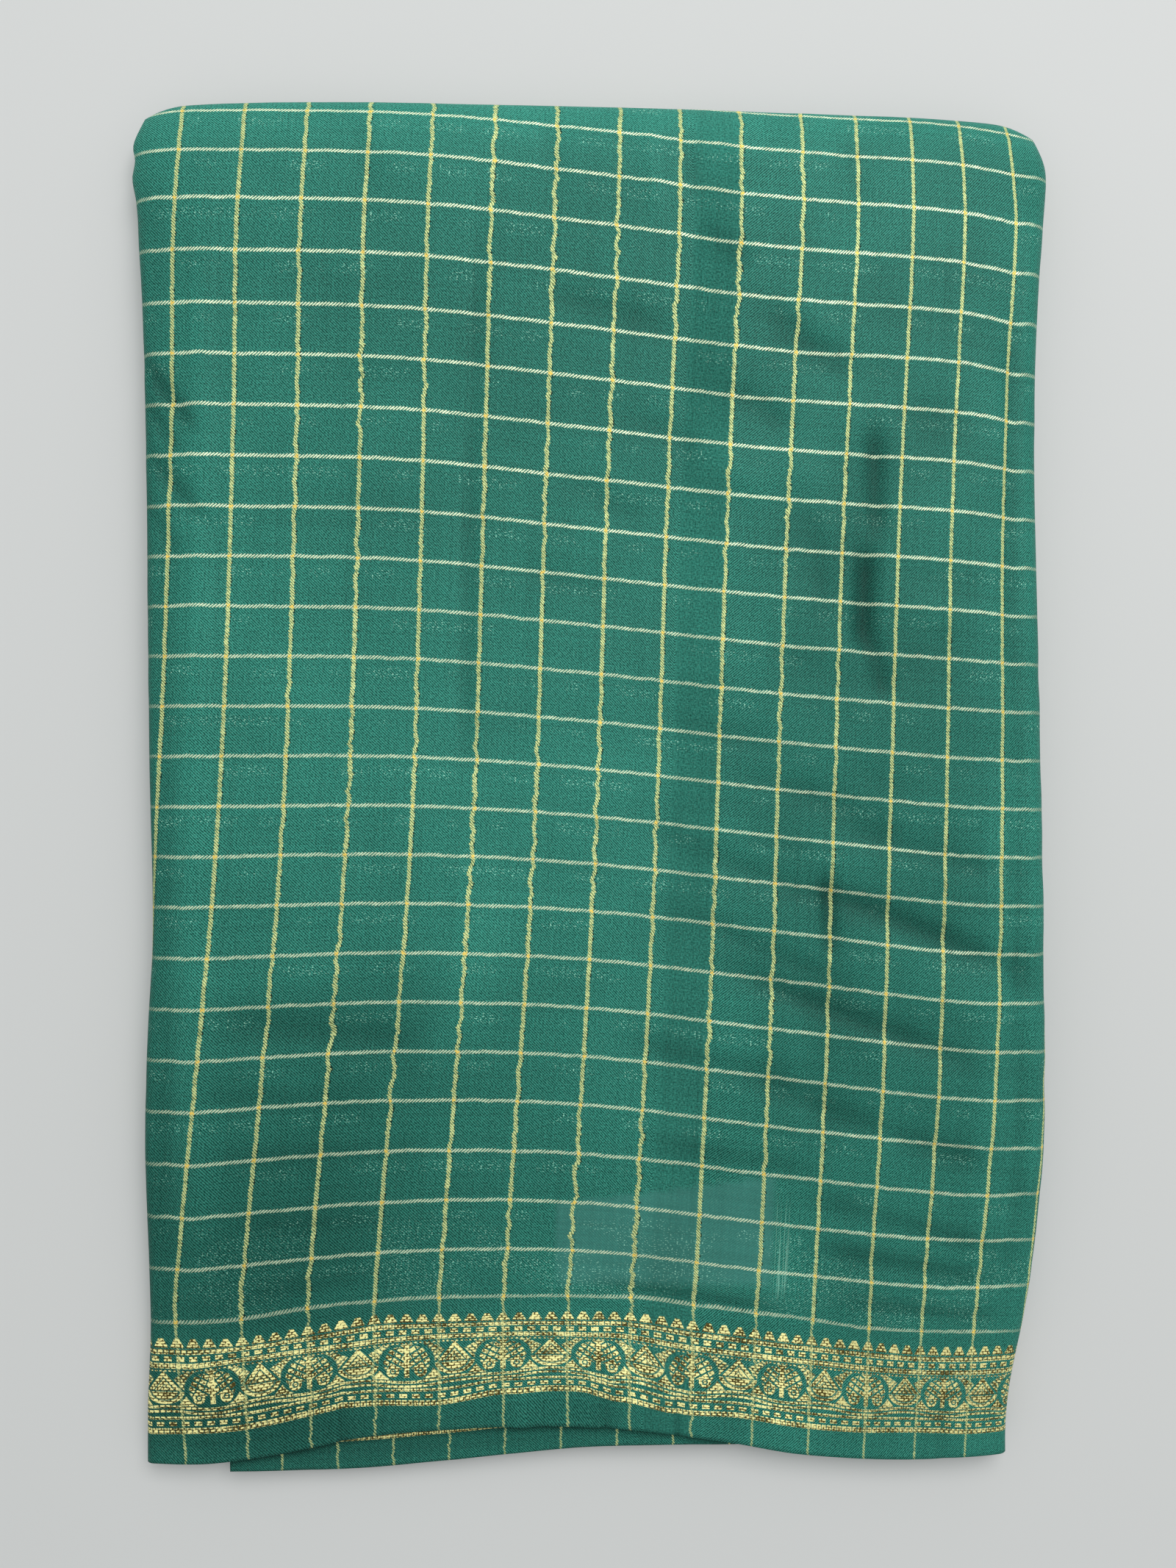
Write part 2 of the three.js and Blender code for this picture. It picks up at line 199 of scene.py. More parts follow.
# Main creases of the top: each row is a start, an end, a width and a depth.
TOP_CREASES = tuple(Crease(*row) for row in (
    # the broken hollow that runs along the right
    ((117.5, 150), (118.5, 104), 4.5, 1.7),
    ((114.5, 98), (113.0, 58), 4.8, 2.3),
    ((116.5, 62), (122.0, 38), 4.5, 1.3),
    ((98.0, -36), (100.0, -70), 3.6, 1.5),
    # the long faint fold line left of the middle
    ((-46.0, 228), (-49.0, 130), 3.2, 0.45),
    ((-49.0, 136), (-51.0, 18), 3.4, 0.75),
    # short slanting creases at the left edge
    ((-186, 178), (-163, 148), 3.4, 1.5),
    ((-184, 160), (-171, 140), 2.6, 0.9),
    ((-182, 138), (-157, 108), 3.6, 1.2),
    ((-184, 118), (-170, 96), 3.0, 0.7),
    # the raised line along the left and the hollow beside it
    ((-161, 232), (-162, 40), 6.0, -0.75),
    ((-163, 60), (-166, -200), 6.5, -0.9),
    ((-176, 90), (-178, -210), 4.0, 0.5),
    # the long hollow along the right edge
    ((174.5, 205), (174.5, 40), 3.8, 0.8),
    ((177.0, 60), (179.0, -190), 4.0, 0.6),
    ((168.0, -10), (164.0, -200), 6.0, -0.6),
    # slanting crumples of the lower right
    ((28, -18), (96, -46), 5.0, 0.9),
    ((92, -40), (176, -74), 5.2, 1.5),
    ((36, -50), (108, -82), 4.6, 0.8),
    ((60, -76), (156, -112), 5.0, 1.4),
    ((18, -104), (96, -126), 5.4, 0.8),
    ((72, -124), (170, -158), 5.2, 1.1),
    ((26, -146), (94, -160), 5.0, 0.7),
    ((88, -170), (170, -192), 4.6, 0.9),
    ((94, -192), (168, -206), 4.2, 1.2),
    ((104, -16), (174, -36), 5.2, 0.8),
    ((58, 8), (124, -14), 5.6, 0.7),
    ((30, 30), (84, 14), 5.6, 0.6),
    ((84, -88), (88, -156), 4.4, -0.5),
    ((122, -100), (124, -160), 4.0, -0.45),
    # mottled hollows of the upper middle
    ((-20, 206), (32, 190), 6.0, 0.8),
    ((48, 234), (66, 216), 5.0, 0.9),
    ((74, 196), (108, 170), 6.0, 0.9),
    ((58, 164), (82, 150), 5.5, 0.8),
    ((18, 154), (50, 136), 6.0, 0.6),
    ((44, 140), (74, 122), 6.5, -0.8),
    ((86, 140), (100, 96), 6.0, -0.5),
    ((92, 120), (98, 70), 4.5, 0.5),
    ((-10, 128), (20, 112), 5.0, 0.5),
    ((-30, 92), (8, 80), 5.5, 0.5),
    # small folds that run up to the far fold
    ((24, 278), (30, 236), 4.0, -0.7),
    ((40, 276), (44, 244), 3.2, 0.6),
    ((56, 272), (54, 250), 4.0, -0.5),
    ((-18, 280), (-14, 252), 4.0, 0.4),
    ((-96, 280), (-90, 246), 5.0, 0.4),
    ((108, 268), (112, 240), 4.4, 0.5),
    # the lower left
    ((-172, -84), (-96, -76), 7.0, -0.7),
    ((-150, -96), (-70, -104), 7.0, 0.9),
    ((-168, -128), (-92, -132), 5.0, 0.6),
    ((-160, -156), (-66, -150), 5.0, 0.5),
    ((-150, -184), (-86, -180), 4.6, 0.7),
    ((-62, -120), (-36, -40), 12.0, -1.0),
    # above and across the border
    ((2, -207), (82, -219), 3.0, 1.1),
    ((46, -204), (98, -210), 3.2, -0.5),
    ((108, -216), (168, -222), 3.0, 0.9),
    ((-146, -214), (-96, -206), 3.4, 0.6),
    ((-104, -288), (-104, -246), 2.2, 0.7),
    ((9, -284), (5, -240), 2.4, 0.8),
    ((37, -288), (38, -250), 2.0, 0.7),
    ((-30, -284), (-28, -246), 5.0, -0.8),
    ((150, -290), (146, -250), 3.4, 0.4),
))


@dataclass(frozen=True)
class Crumple:
    """Soft unevenness of the whole top: its depth and cell in mm, and how it grows to the right."""

    depth: float
    cell: tuple[float, float]
    seed: int
    left: float
    gain: float
    slant: tuple[float, float] = (0.0, 0.0)

    def sink(self, x: np.ndarray, y: np.ndarray, right: np.ndarray) -> np.ndarray:
        """Work out how far the cloth sinks.

        Args:
            x: places across.
            y: places along.
            right: 0 at the left, up to 1 at the right.

        Returns:
            The depth at each place.
        """
        heights = value_noise(x - self.slant[0] * y, y + self.slant[1] * x, self.cell, self.seed)
        return self.depth * heights * (self.left + self.gain * right)


CRUMPLES = (
    Crumple(0.34, (30, 13), seed=5, left=0.35, gain=1.0, slant=(0.35, 0.3)),
    Crumple(0.22, (15, 19), seed=8, left=0.5, gain=0.5),
    Crumple(0.12, (7, 9), seed=12, left=1.0, gain=0.0),
)


class Side(Enum):
    """Which half of the folded cloth a surface belongs to."""

    UPPER = 1
    LOWER = -1


@dataclass(frozen=True)
class Roll:
    """The roll beside each point: its heights, its width and how far it tucks in, in mm."""

    flat: np.ndarray
    widest: np.ndarray
    seam: np.ndarray
    width: np.ndarray
    tuck: np.ndarray


@dataclass(frozen=True)
class FoldedForm:
    """The sizes of the folded cloth and the surfaces of its two halves, in mm."""

    half_width: float = 190.0
    crown: float = 25.0
    side_tilt: float = 2.2
    near_height: float = 13.6
    near_tilt: float = 0.9
    near_start: float = -105.0      # where the top starts to sink towards the selvedges
    near_length: float = 185.0
    shoulder_drop: float = 3.4
    shoulder_width: float = 34.0
    far_slope: float = 3.0
    far_slope_length: float = 75.0
    corner_roll: float = 23.0
    corner_square: float = 0.32     # 0.5 gives a round corner, 0 a square one
    roll_reach: float = 1.25
    bulge: float = 0.42
    tuck: float = 0.26
    crevice: float = 0.1
    fold_rise: float = 1.5
    turn_start: float = 215.0
    turn_length: float = 53.0
    back_recess: float = 0.06
    back_short: float = 3.2
    far_slack: float = 1.12         # cloth in the far roll for each mm round it

    def turn(self, y: np.ndarray) -> np.ndarray:
        """Return 0 along the sides, up to 1 at the far fold."""
        return smooth((y - self.turn_start) / self.turn_length)

    def top(self, x: np.ndarray, y: np.ndarray) -> np.ndarray:
        """Work out the top before it rolls over an edge.

        Args:
            x: places across.
            y: places along.

        Returns:
            The heights above the table.
        """
        tilt = x / self.half_width
        body = self.crown + self.side_tilt * tilt
        near = self.near_height + self.near_tilt * tilt
        height = lerp(body, near, smooth((self.near_start - y) / self.near_length))
        start = FAR_END - FAR_ROLL - self.far_slope_length
        height = height - self.far_slope * clamp01((y - start) / self.far_slope_length) ** 2
        shoulder = clamp01(1 - from_side(x, y) / self.shoulder_width)
        return height - self.shoulder_drop * shoulder ** 2 * (height / self.crown)

    def roll(self, x: np.ndarray, y: np.ndarray, side: Side, inside: Inside) -> Roll:
        """Work out the roll beside each place.

        Args:
            x: places across.
            y: places along.
            side: which half rolls.
            inside: how far in the surface lies.

        Returns:
            The roll's sizes there.
        """
        shoulder = self.top(x, y)
        middle = shoulder / 2
        turned = self.turn(y)
        up = side.value
        widest = middle + up * lerp(self.bulge * middle, self.fold_rise, turned)
        seam = middle + up * lerp(self.crevice * middle + inside.seam, GAP / 2, turned)
        flat = shoulder - inside.height if side is Side.UPPER else inside.height + 0 * shoulder
        width = lerp(self.roll_reach * np.abs(flat - widest), self.corner_roll, turned)
        return Roll(flat, widest, seam, width, self.tuck * middle * (1 - turned))


@dataclass(frozen=True)
class Density:
    """How finely a half surface is divided."""

    flat_columns: int
    roll_steps: int
    flat_rows: int
    near_rows: int
    far_roll_steps: int
    skirt_steps: int = 3


@dataclass(frozen=True)
class BuiltHalf:
    """A half surface's points and faces, with each point's place and weave index."""

    points: np.ndarray
    faces: np.ndarray
    weave: np.ndarray
    where: np.ndarray
    lines: list[np.ndarray]         # point numbers along the rim, then down the skirt
    grid: np.ndarray


@dataclass
class HalfSurface:
    """One half of the folded cloth as a grid of points, with skirts that tuck in beside it."""

    form: FoldedForm
    side: Side
    inside: Inside
    density: Density
    near_share: float = 0.12        # share of the length that the near rows take up
    settling_rounds: int = 4        # a point's roll depends on where it lies, so both settle

    def shape(self) -> None:
        """Lay out the grid, its outward directions and the roll beside each point."""
        d, form, upper = self.density, self.form, self.side is Side.UPPER
        steps = np.sin(np.arange(d.roll_steps, 0, -1) / d.roll_steps * math.pi / 2)
        share_x = np.concatenate([np.zeros(d.roll_steps), np.linspace(0, 1, d.flat_columns + 1),
                                  np.ones(d.roll_steps)])
        side = np.concatenate([-steps, np.zeros(d.flat_columns + 1), steps[::-1]])
        near = self.near_share * (np.arange(d.near_rows) / d.near_rows)
        far = np.sin(np.arange(1, d.far_roll_steps + 1) / d.far_roll_steps * math.pi / 2)
        share_y = np.concatenate([near, np.linspace(self.near_share, 1, d.flat_rows + 1),
                                  np.ones(d.far_roll_steps)])
        end = np.concatenate([np.zeros(d.near_rows + d.flat_rows + 1), far])
        share_x, side = np.broadcast_arrays(share_x[None, :], side[None, :])
        share_y, end = share_y[:, None], end[:, None]
        out_x = side * np.sqrt(1 - form.corner_square * end ** 2)
        out_y = end * np.sqrt(1 - form.corner_square * side ** 2)
        x = np.zeros(out_x.shape)
        y = lerp(-FAR_END, FAR_END - FAR_ROLL, share_y) + 0 * x
        for _ in range(self.settling_rounds):
            recess = self.inside.level
            if not upper:
                recess = recess + form.back_recess * form.top(np.zeros(y.shape), y) * (1 - form.turn(y))
            left, right = SIDE_LEFT.at(y) + recess, SIDE_RIGHT.at(y) - recess
            left_roll = form.roll(left, y, self.side, self.inside).width
            right_roll = form.roll(right, y, self.side, self.inside).width
            start = lerp(left + left_roll, right - right_roll, share_x)
            x = start + np.where(side < 0, left_roll, right_roll) * out_x
            near_edge = FRONT_SELVEDGE.at(x) + (0 if upper else form.back_short)
            far_edge = FAR_FOLD.at(x) - FAR_ROLL - self.inside.level
            y = lerp(near_edge, far_edge, share_y) + FAR_ROLL * out_y
            roll = form.roll(start, np.minimum(y, far_edge), self.side, self.inside)
        self.round = np.sqrt(np.maximum((1 - side ** 2) * (1 - end ** 2), 0))
        self.points = np.stack([x, y, lerp(roll.widest, roll.flat, self.round)], axis=-1)
        self.out = np.stack([out_x + 0 * x, out_y + 0 * x], axis=-1)
        self.beside = roll
        self.measure()

    def measure(self) -> None:
        """Find each point's place on the flat cloth, by its distance round the rolls."""
        d, points = self.density, self.points
        first, last = d.roll_steps, d.roll_steps + d.flat_columns
        self.flat_x, self.flat_y = points[..., 0].copy(), points[..., 1].copy()
        across = np.linalg.norm(np.diff(points, axis=1), axis=-1)
        for c in range(first - 1, -1, -1):
            self.flat_x[:, c] = self.flat_x[:, c + 1] - across[:, c]
        for c in range(last + 1, points.shape[1]):
            self.flat_x[:, c] = self.flat_x[:, c - 1] + across[:, c - 1]
        along = np.linalg.norm(np.diff(points, axis=0), axis=-1)
        for r in range(points.shape[0] - d.far_roll_steps, points.shape[0]):
            self.flat_y[r] = self.flat_y[r - 1] + self.form.far_slack * along[r - 1]

    def rim(self) -> list[tuple[int, int]]:
        """Return the rim's places in the grid, from the near left to the near right."""
        rows, columns = self.points.shape[:2]
        return ([(r, 0) for r in range(rows - 1)] + [(rows - 1, c) for c in range(columns)]
                + [(r, columns - 1) for r in range(rows - 2, -1, -1)])

    def build(self, cloth: "FlatCloth | None", shift: int) -> BuiltHalf:
        """Turn the grid into points, faces and places on the cloth.

        Args:
            cloth: gives a place on the flat cloth its weave index, or None for plain cloth.
            shift: number of the first point.

        Returns:
            The half with its skirts.
        """
        rows, columns = self.points.shape[:2]
        grid = np.arange(rows * columns).reshape(rows, columns)
        rim = self.rim()
        at = (np.array([r for r, _ in rim]), np.array([c for _, c in rim]))
        point, out = self.points[at], self.out[at]
        roll = self.beside
        tuck, widest, seam = roll.tuck[at], roll.widest[at], roll.seam[at]
        place = np.stack([self.flat_x[at], self.flat_y[at]], axis=-1)
        points = [self.points.reshape(-1, 3)]
        places = [np.stack([self.flat_x, self.flat_y], axis=-1).reshape(-1, 2)]
        lines = [grid[at]]
        previous = point
        for k in range(1, self.density.skirt_steps + 1):
            angle = k / self.density.skirt_steps * math.pi / 2
            back = tuck * (1 - math.cos(angle))
            ring = np.stack([point[:, 0] - out[:, 0] * back, point[:, 1] - out[:, 1] * back,
                             point[:, 2] + (seam - widest) * math.sin(angle)], axis=-1)
            place = place + out * np.linalg.norm(ring - previous, axis=-1)[:, None]
            lines.append(np.arange(len(ring)) + sum(len(p) for p in points))
            points.append(ring)
            places.append(place)
            previous = ring
        skirts = [between_lines(first, second) for first, second in zip(lines, lines[1:])]
        faces = np.concatenate([between_rows(grid), *skirts])
        if self.side is Side.LOWER:
            faces = faces[:, ::-1]
        where = np.concatenate(places)
        weave = cloth.index(where[:, 0], where[:, 1]) if cloth else where
        return BuiltHalf(np.concatenate(points), faces + shift, weave, where,
                         [line + shift for line in lines], grid + shift)

    def round_the_fold(self, built: BuiltHalf) -> np.ndarray:
        """Return the skirt's last point numbers where it goes round the far fold."""
        line = built.lines[-1]
        before = self.points.shape[0] - self.density.far_roll_steps - 1
        return line[before:len(line) - before]

    def crumple(self, sink: np.ndarray) -> None:
        """Move the grid's points in along their normals.

        Args:
            sink: how far each point moves, in mm.
        """
        du, dv = np.gradient(self.points, axis=1), np.gradient(self.points, axis=0)
        normal = np.cross(du, dv)
        normal /= np.maximum(np.linalg.norm(normal, axis=-1, keepdims=True), 1e-9)
        if self.side is Side.LOWER:
            normal = -normal
        self.points = self.points - normal * sink[..., None]


# ---- the cloth's own lines -----------------------------------------------------------
WEFT_PITCH = 25.0      # between the lines that run up the cloth, in mm
WARP_PITCH = 20.9      # between the lines that run across it
BORDER = 56.5          # from the selvedge to the first line above the border
LAST_LINE = 12.5       # the border's last heavy line
INNER_DASHES = 38.0    # its second dashed line
TEMPLE_TIPS = 49.0     # the tips of its temples
STATIONS = (277, 235, 174, 113, 52, -8, -69, -130, -192, -218, -283)     # up the cloth
CROSS_STATIONS = (-165, -76.5, -0.5, 75, 148, 176.5)                      # across it


def weft_line(*x: float) -> Curve:
    """Return a line up the cloth from its x at each station, from the far end to the near one."""
    return Curve(tuple(sorted(zip(STATIONS, x))))


WEFT_LINES = {
    1: weft_line(-144.3, -146.5, -147, -148.5, -150.5, -153.5, -158, -164, -171.3, -174, -170.4),
    4: weft_line(-65.2, -67, -68, -69.2, -71, -73, -77, -82.3, -88, -90, -90),
    7: weft_line(13, 12, 9.6, 7.1, 5.3, 3.2, 0.2, -3.5, -7.5, -9, -9),
    10: weft_line(88.5, 88.5, 85, 82, 79.6, 77.7, 76, 73.6, 71.5, 70, 68.3),
    12: weft_line(133.8, 134, 131, 128, 126, 124.3, 122.8, 120.8, 118, 117.5, 115.6),
    14: weft_line(174, 176.5, 173.2, 171, 170.5, 170.2, 169.3, 167, 163.4, 161.7, 157.9),
}


def warp_line(*y: float) -> Curve:
    """Return a line across the cloth from its y at each station, from the left to the right."""
    return Curve(tuple(zip(CROSS_STATIONS, y)))


WARP_LINES = {
    -1 + LAST_LINE / BORDER: Curve((
        (-185, -271.8), (-147, -269.5), (-118, -263.2), (-104, -260), (-90, -258.7), (-62, -258.4),
        (-39, -253.8), (-22, -252.2), (-2, -252.4), (8, -256.2), (18, -257.5), (35, -262),
        (64, -264), (88, -267.7), (111, -269.9), (134, -269.8), (160, -270.7), (190, -268.6))),
    -1 + INNER_DASHES / BORDER: Curve((
        (-168, -244.3), (-118, -237), (-62, -230.5), (10, -230.1), (43, -235.4), (105, -242.9),
        (128, -245.4), (160, -246), (185, -245))),
    -1 + TEMPLE_TIPS / BORDER: Curve((
        (-168, -232.2), (-146.5, -231.5), (-118, -226.6), (-90, -221.5), (-62, -221), (5, -219.6),
        (25, -220.8), (44, -223.6), (82, -229), (105, -231.5), (143, -234.5), (175, -234.5))),
    0: Curve((
        (-172, -224.6), (-146, -222.6), (-118, -217.7), (-90, -214.8), (-62, -212.8), (18, -212.6),
        (44, -216), (68, -219.1), (94, -222.2), (115, -225.7), (138, -227), (178, -227.6))),
    1: warp_line(-201.7, -193.2, -193, -201.5, -208.4, -208),
    4: warp_line(-134.7, -129.2, -130.9, -139.6, -147.7, -149.2),
    8: warp_line(-49.5, -47.6, -50.6, -58.7, -67.4, -68.8),
    12: warp_line(34.2, 33.3, 27.8, 19.5, 12.8, 11.3),
    16: warp_line(117.4, 115.1, 107.3, 99.3, 94, 91),
    20: warp_line(201.8, 199, 190.5, 181.1, 176, 171),
    22: warp_line(246.2, 243.5, 234.7, 224.1, 217.7, 212.6),
}


def count_lines(place: np.ndarray, numbers: list[float], lines: list[np.ndarray]) -> np.ndarray:
    """Count lines up to each place, in parts of a line between them.

    Args:
        place: where to count, in mm.
        numbers: each line's number.
        lines: where each line runs beside the place, in mm.

    Returns:
        The count, carried on at the same pitch beyond the end lines.
    """
    found = None
    for a in range(len(numbers) - 1):
        pitch = (lines[a + 1] - lines[a]) / (numbers[a + 1] - numbers[a])
        count = numbers[a] + (place - lines[a]) / pitch
        found = count if found is None else np.where(place > lines[a], count, found)
    return found


class FlatCloth:
    """Gives each place on the cloth its weave index: which weft line, and which warp line."""

    def weft(self, x: np.ndarray, y: np.ndarray) -> np.ndarray:
        """Return the weft index, whole at each line that runs up the cloth."""
        return count_lines(x, list(WEFT_LINES), [line.at(y) for line in WEFT_LINES.values()])

    def warp(self, x: np.ndarray, y: np.ndarray) -> np.ndarray:
        """Find the warp index.

        Args:
            x: places across, in mm.
            y: places along, in mm.

        Returns:
            -1 at the selvedge, 0 at the first line above the border, and whole at each one after it.
        """
        lines = [FRONT_SELVEDGE.at(x), *(line.at(x) for line in WARP_LINES.values())]
        found = count_lines(y, [-1.0, *WARP_LINES], lines)
        last = max(WARP_LINES)
        return np.where(y > lines[-1], last + (y - lines[-1]) / WARP_PITCH, found)

    def index(self, x: np.ndarray, y: np.ndarray) -> np.ndarray:
        """Return both indices, for points of the front."""
        return np.stack([self.weft(x, y), self.warp(x, y)], axis=-1)


class BackCloth(FlatCloth):
    """The same cloth carried on underneath, measured from its own selvedge."""

    def index(self, x: np.ndarray, y: np.ndarray) -> np.ndarray:
        """Find both indices, for points of the back.

        Args:
            x: places across, in mm.
            y: places along, in mm.

        Returns:
            The weft index as it is at the far fold, and the warp index.
        """
        edge = y - FRONT_SELVEDGE.at(x) - FoldedForm().back_short
        warp = np.where(edge < BORDER, edge / BORDER - 1, (edge - BORDER) / WARP_PITCH)
        return np.stack([self.weft(x, np.full(x.shape, float(STATIONS[0]))), warp], axis=-1)


def new_piece(name: str, points: np.ndarray, faces: np.ndarray, weave: np.ndarray | None) -> bpy.types.Object:
    """Make a mesh piece at the origin.

    Args:
        name: the piece's name.
        points: its points in mm.
        faces: point numbers of each four-sided face.
        weave: for each face's corners, the weave index, or None.

    Returns:
        The new object, smooth shaded and linked to the scene.
    """
    mesh = bpy.data.meshes.new(name)
    mesh.from_pydata((points * MM).tolist(), [], faces.tolist())
    mesh.polygons.foreach_set("use_smooth", np.ones(len(mesh.polygons), dtype=bool))
    if weave is not None:
        layer = mesh.uv_layers.new(name="weave")
        layer.data.foreach_set("uv", weave.reshape(-1).astype(np.float32))
    mesh.validate()
    mesh.update()
    piece = bpy.data.objects.new(name, mesh)
    bpy.context.collection.objects.link(piece)
    return piece


@dataclass(frozen=True)
class PaintedPatch:
    """A soft place of painted light or shade: its middle, its half sizes and how it changes the tone."""

    middle: tuple[float, float]
    half: tuple[float, float]
    amount: float

    def at(self, x: np.ndarray, y: np.ndarray) -> np.ndarray:
        """Return the change of tone at x, y."""
        away = ((x - self.middle[0]) / self.half[0]) ** 2 + ((y - self.middle[1]) / self.half[1]) ** 2
        return self.amount * np.exp(-away)


# Painted light and shade, as slow changes of the silk's tone, such as the paler far roll and the darker left
# roll and lower left: each row is a middle, its half sizes and an amount.
PAINTED_LIGHT_AND_SHADE = tuple(PaintedPatch(*row) for row in (
    ((0, 292), (420, 34), 0.26),
    ((-20, 175), (90, 60), -0.06),
    ((-105, 20), (70, 90), 0.10),
    ((10, -10), (48, 120), 0.07),
    ((-105, -118), (58, 46), -0.20),
    ((-135, -195), (75, 42), -0.30),
    ((-150, -270), (70, 22), -0.36),
    ((-150, -222), (60, 8), -0.10),
    ((-20, -262), (60, 10), -0.14),
    ((-40, -274), (70, 12), -0.14),
    ((-20, -136), (50, 30), -0.05),
    ((-160, -250), (56, 15), -0.12),
    ((104, 96), (34, 70), -0.06),
    ((112, -60), (62, 60), -0.05),
    ((130, -215), (60, 20), -0.08),
    ((-187, -20), (10, 260), -0.20),
    ((178, 60), (10, 200), 0.10),
    ((126, 30), (50, 60), -0.09),
    ((112, -122), (66, 50), -0.10),
))

SIDE_DIM = 13.0     # how far in from a side edge the zari lines dim, as painted shade where the cloth turns over


@dataclass(frozen=True)
class PaperSlip:
    """A slip of pale paper between the layers, which shows faintly through the silk."""

    left: float = -14.0
    right: float = 77.0
    low: float = -210.0
    high: float = -172.0
    rise: float = 0.13
    strength: float = 0.72
    soft: float = 1.6           # how soft its cut edges look
    low_soft: float = 6.0       # and its low edge, which lies deeper

    def at(self, x: np.ndarray, y: np.ndarray) -> np.ndarray:
        """Work out how strongly the slip shows.

        Args:
            x: places across, in mm.
            y: places along, in mm.

        Returns:
            Its share of the colour, from 0 to its strength.
        """
        top = self.high + self.rise * (x - self.left)
        inside = smooth((x - self.left) / self.soft) * smooth((self.right - x) / self.soft)
        return self.strength * inside * smooth((top - y) / self.soft) * smooth((y - self.low) / self.low_soft)


def add_painted_light_slip_turn(piece: bpy.types.Object, places: np.ndarray, painted_light_and_shade: Values = 1.0) -> None:
    """Keep each point's painted light and shade, slip and turn over a side edge on the piece.

    Args:
        piece: the piece of cloth.
        places: each point's place on the cloth, in mm.
        painted_light_and_shade: each point's painted light and shade, from its creases.
    """
    x, y = places[:, 0], places[:, 1]
    # the painted light and shade: the soft patches times what the caller paints
    tone = (1 + sum(mark.at(x, y) for mark in PAINTED_LIGHT_AND_SHADE)) * painted_light_and_shade
    turned = 1 - smooth(from_side(x, y) / SIDE_DIM)
    values = np.stack([tone, PaperSlip().at(x, y), turned], axis=-1)
    layer = piece.data.attributes.new("painted_light_slip_turn", "FLOAT_VECTOR", "POINT")
    layer.data.foreach_set("vector", values.reshape(-1).astype(np.float32))


def deselect() -> None:
    """Leave no object selected."""
    for other in bpy.context.selected_objects:
        other.select_set(False)


def thicken(piece: bpy.types.Object, thickness: float) -> None:
    """Give a sheet its thickness, inwards from the outer side.

    Args:
        piece: the sheet.
        thickness: the cloth's thickness, in mm.
    """
    deselect()
    bpy.context.view_layer.objects.active = piece
    piece.select_set(True)
    wall = piece.modifiers.new("thickness", "SOLIDIFY")
    wall.thickness = thickness * MM
    wall.offset = -1.0
    wall.use_even_offset = False
    bpy.ops.object.modifier_apply(modifier=wall.name)


@dataclass
class OuterCloth:
    """The stretch on top and its continuation underneath, one cloth round the far fold."""

    form: FoldedForm
    name: str = "outer_cloth"
    thickness: float = 0.4
    crease_depth: float = 1.45
    hollow_painted_shade: float = 0.13       # painted shade: how much darker each mm of a hollow is
    ridge_painted_light: float = 0.07        # painted light: how much paler each mm of a ridge is
    painted_light_limits: tuple[float, float] = (-0.2, 0.55)
    right_start: float = 10.0       # from here the cloth is more crumpled to the right
    right_length: float = 70.0
    edge_share: float = 0.25        # share of the creases' depth that is left at an edge
    near_start: float = -291.0      # the creases fade out towards the selvedge
    near_length: float = 14.0
    off_top: float = 1000.0         # moves the back's places clear of the marks on the top
    flat: tuple[float, float] = (0.412, 1.155)

    def sink(self, half: HalfSurface) -> np.ndarray:
        """Work out how deep the top lies in its creases.

        Args:
            half: the upper half, shaped.

        Returns:
            The depth at each of its points, in mm.
        """
        x, y = half.flat_x, half.flat_y
        right = smooth((x - self.right_start) / self.right_length)
        depth = self.crease_depth * sum(crease.sink(x, y) for crease in TOP_CREASES)
        for crumple in CRUMPLES:
            depth = depth + crumple.sink(x, y, right)
        edge = self.edge_share + (1 - self.edge_share) * half.round
        return depth * edge * smooth((y - self.near_start) / self.near_length)

    def make(self) -> bpy.types.Object:
        """Build both halves, join them round the far fold and give them their thickness."""
        fine = Density(flat_columns=140, roll_steps=9, flat_rows=190, near_rows=34, far_roll_steps=16)
        plain = Density(flat_columns=140, roll_steps=9, flat_rows=34, near_rows=6, far_roll_steps=16)
        front = HalfSurface(self.form, Side.UPPER, OUTERMOST, fine)
        back = HalfSurface(self.form, Side.LOWER, OUTERMOST, plain)
        front.shape()
        back.shape()
        sink = self.sink(front)
        front.crumple(sink)
        upper = front.build(FlatCloth(), 0)
        lower = back.build(BackCloth(), len(upper.points))
        points = np.concatenate([upper.points, lower.points])
        closing = between_lines(front.round_the_fold(upper), back.round_the_fold(lower))
        index = np.concatenate([upper.weave, lower.weave])
        shut = index[closing]
        shut[:, 2:] = index[closing[:, 1::-1]]
        weave = np.concatenate([index[upper.faces], index[lower.faces], shut])
        piece = new_piece(self.name, points, np.concatenate([upper.faces, lower.faces, closing]), weave)
        # painted light and shade from the creases: darker in the hollows, paler on the ridges
        painted_light_and_shade = np.ones(len(points))
        hollow = np.where(sink > 0, self.hollow_painted_shade, self.ridge_painted_light) * sink
        painted_light_and_shade[:hollow.size] -= np.clip(hollow, *self.painted_light_limits).reshape(-1)
        below = lower.where + np.array([0.0, self.off_top])
        add_painted_light_slip_turn(piece, np.concatenate([upper.where, below]), painted_light_and_shade)
        thicken(piece, self.thickness)
        return piece

    def dress(self, piece: bpy.types.Object, silk: bpy.types.Material) -> None:
        """Give the piece its silk and its place in the frame.

        Args:
            piece: the cloth that make built.
            silk: the checked silk.
        """
        piece.data.materials.append(silk)
        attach(piece, "root")
        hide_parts("front_stretch", "back_stretch")


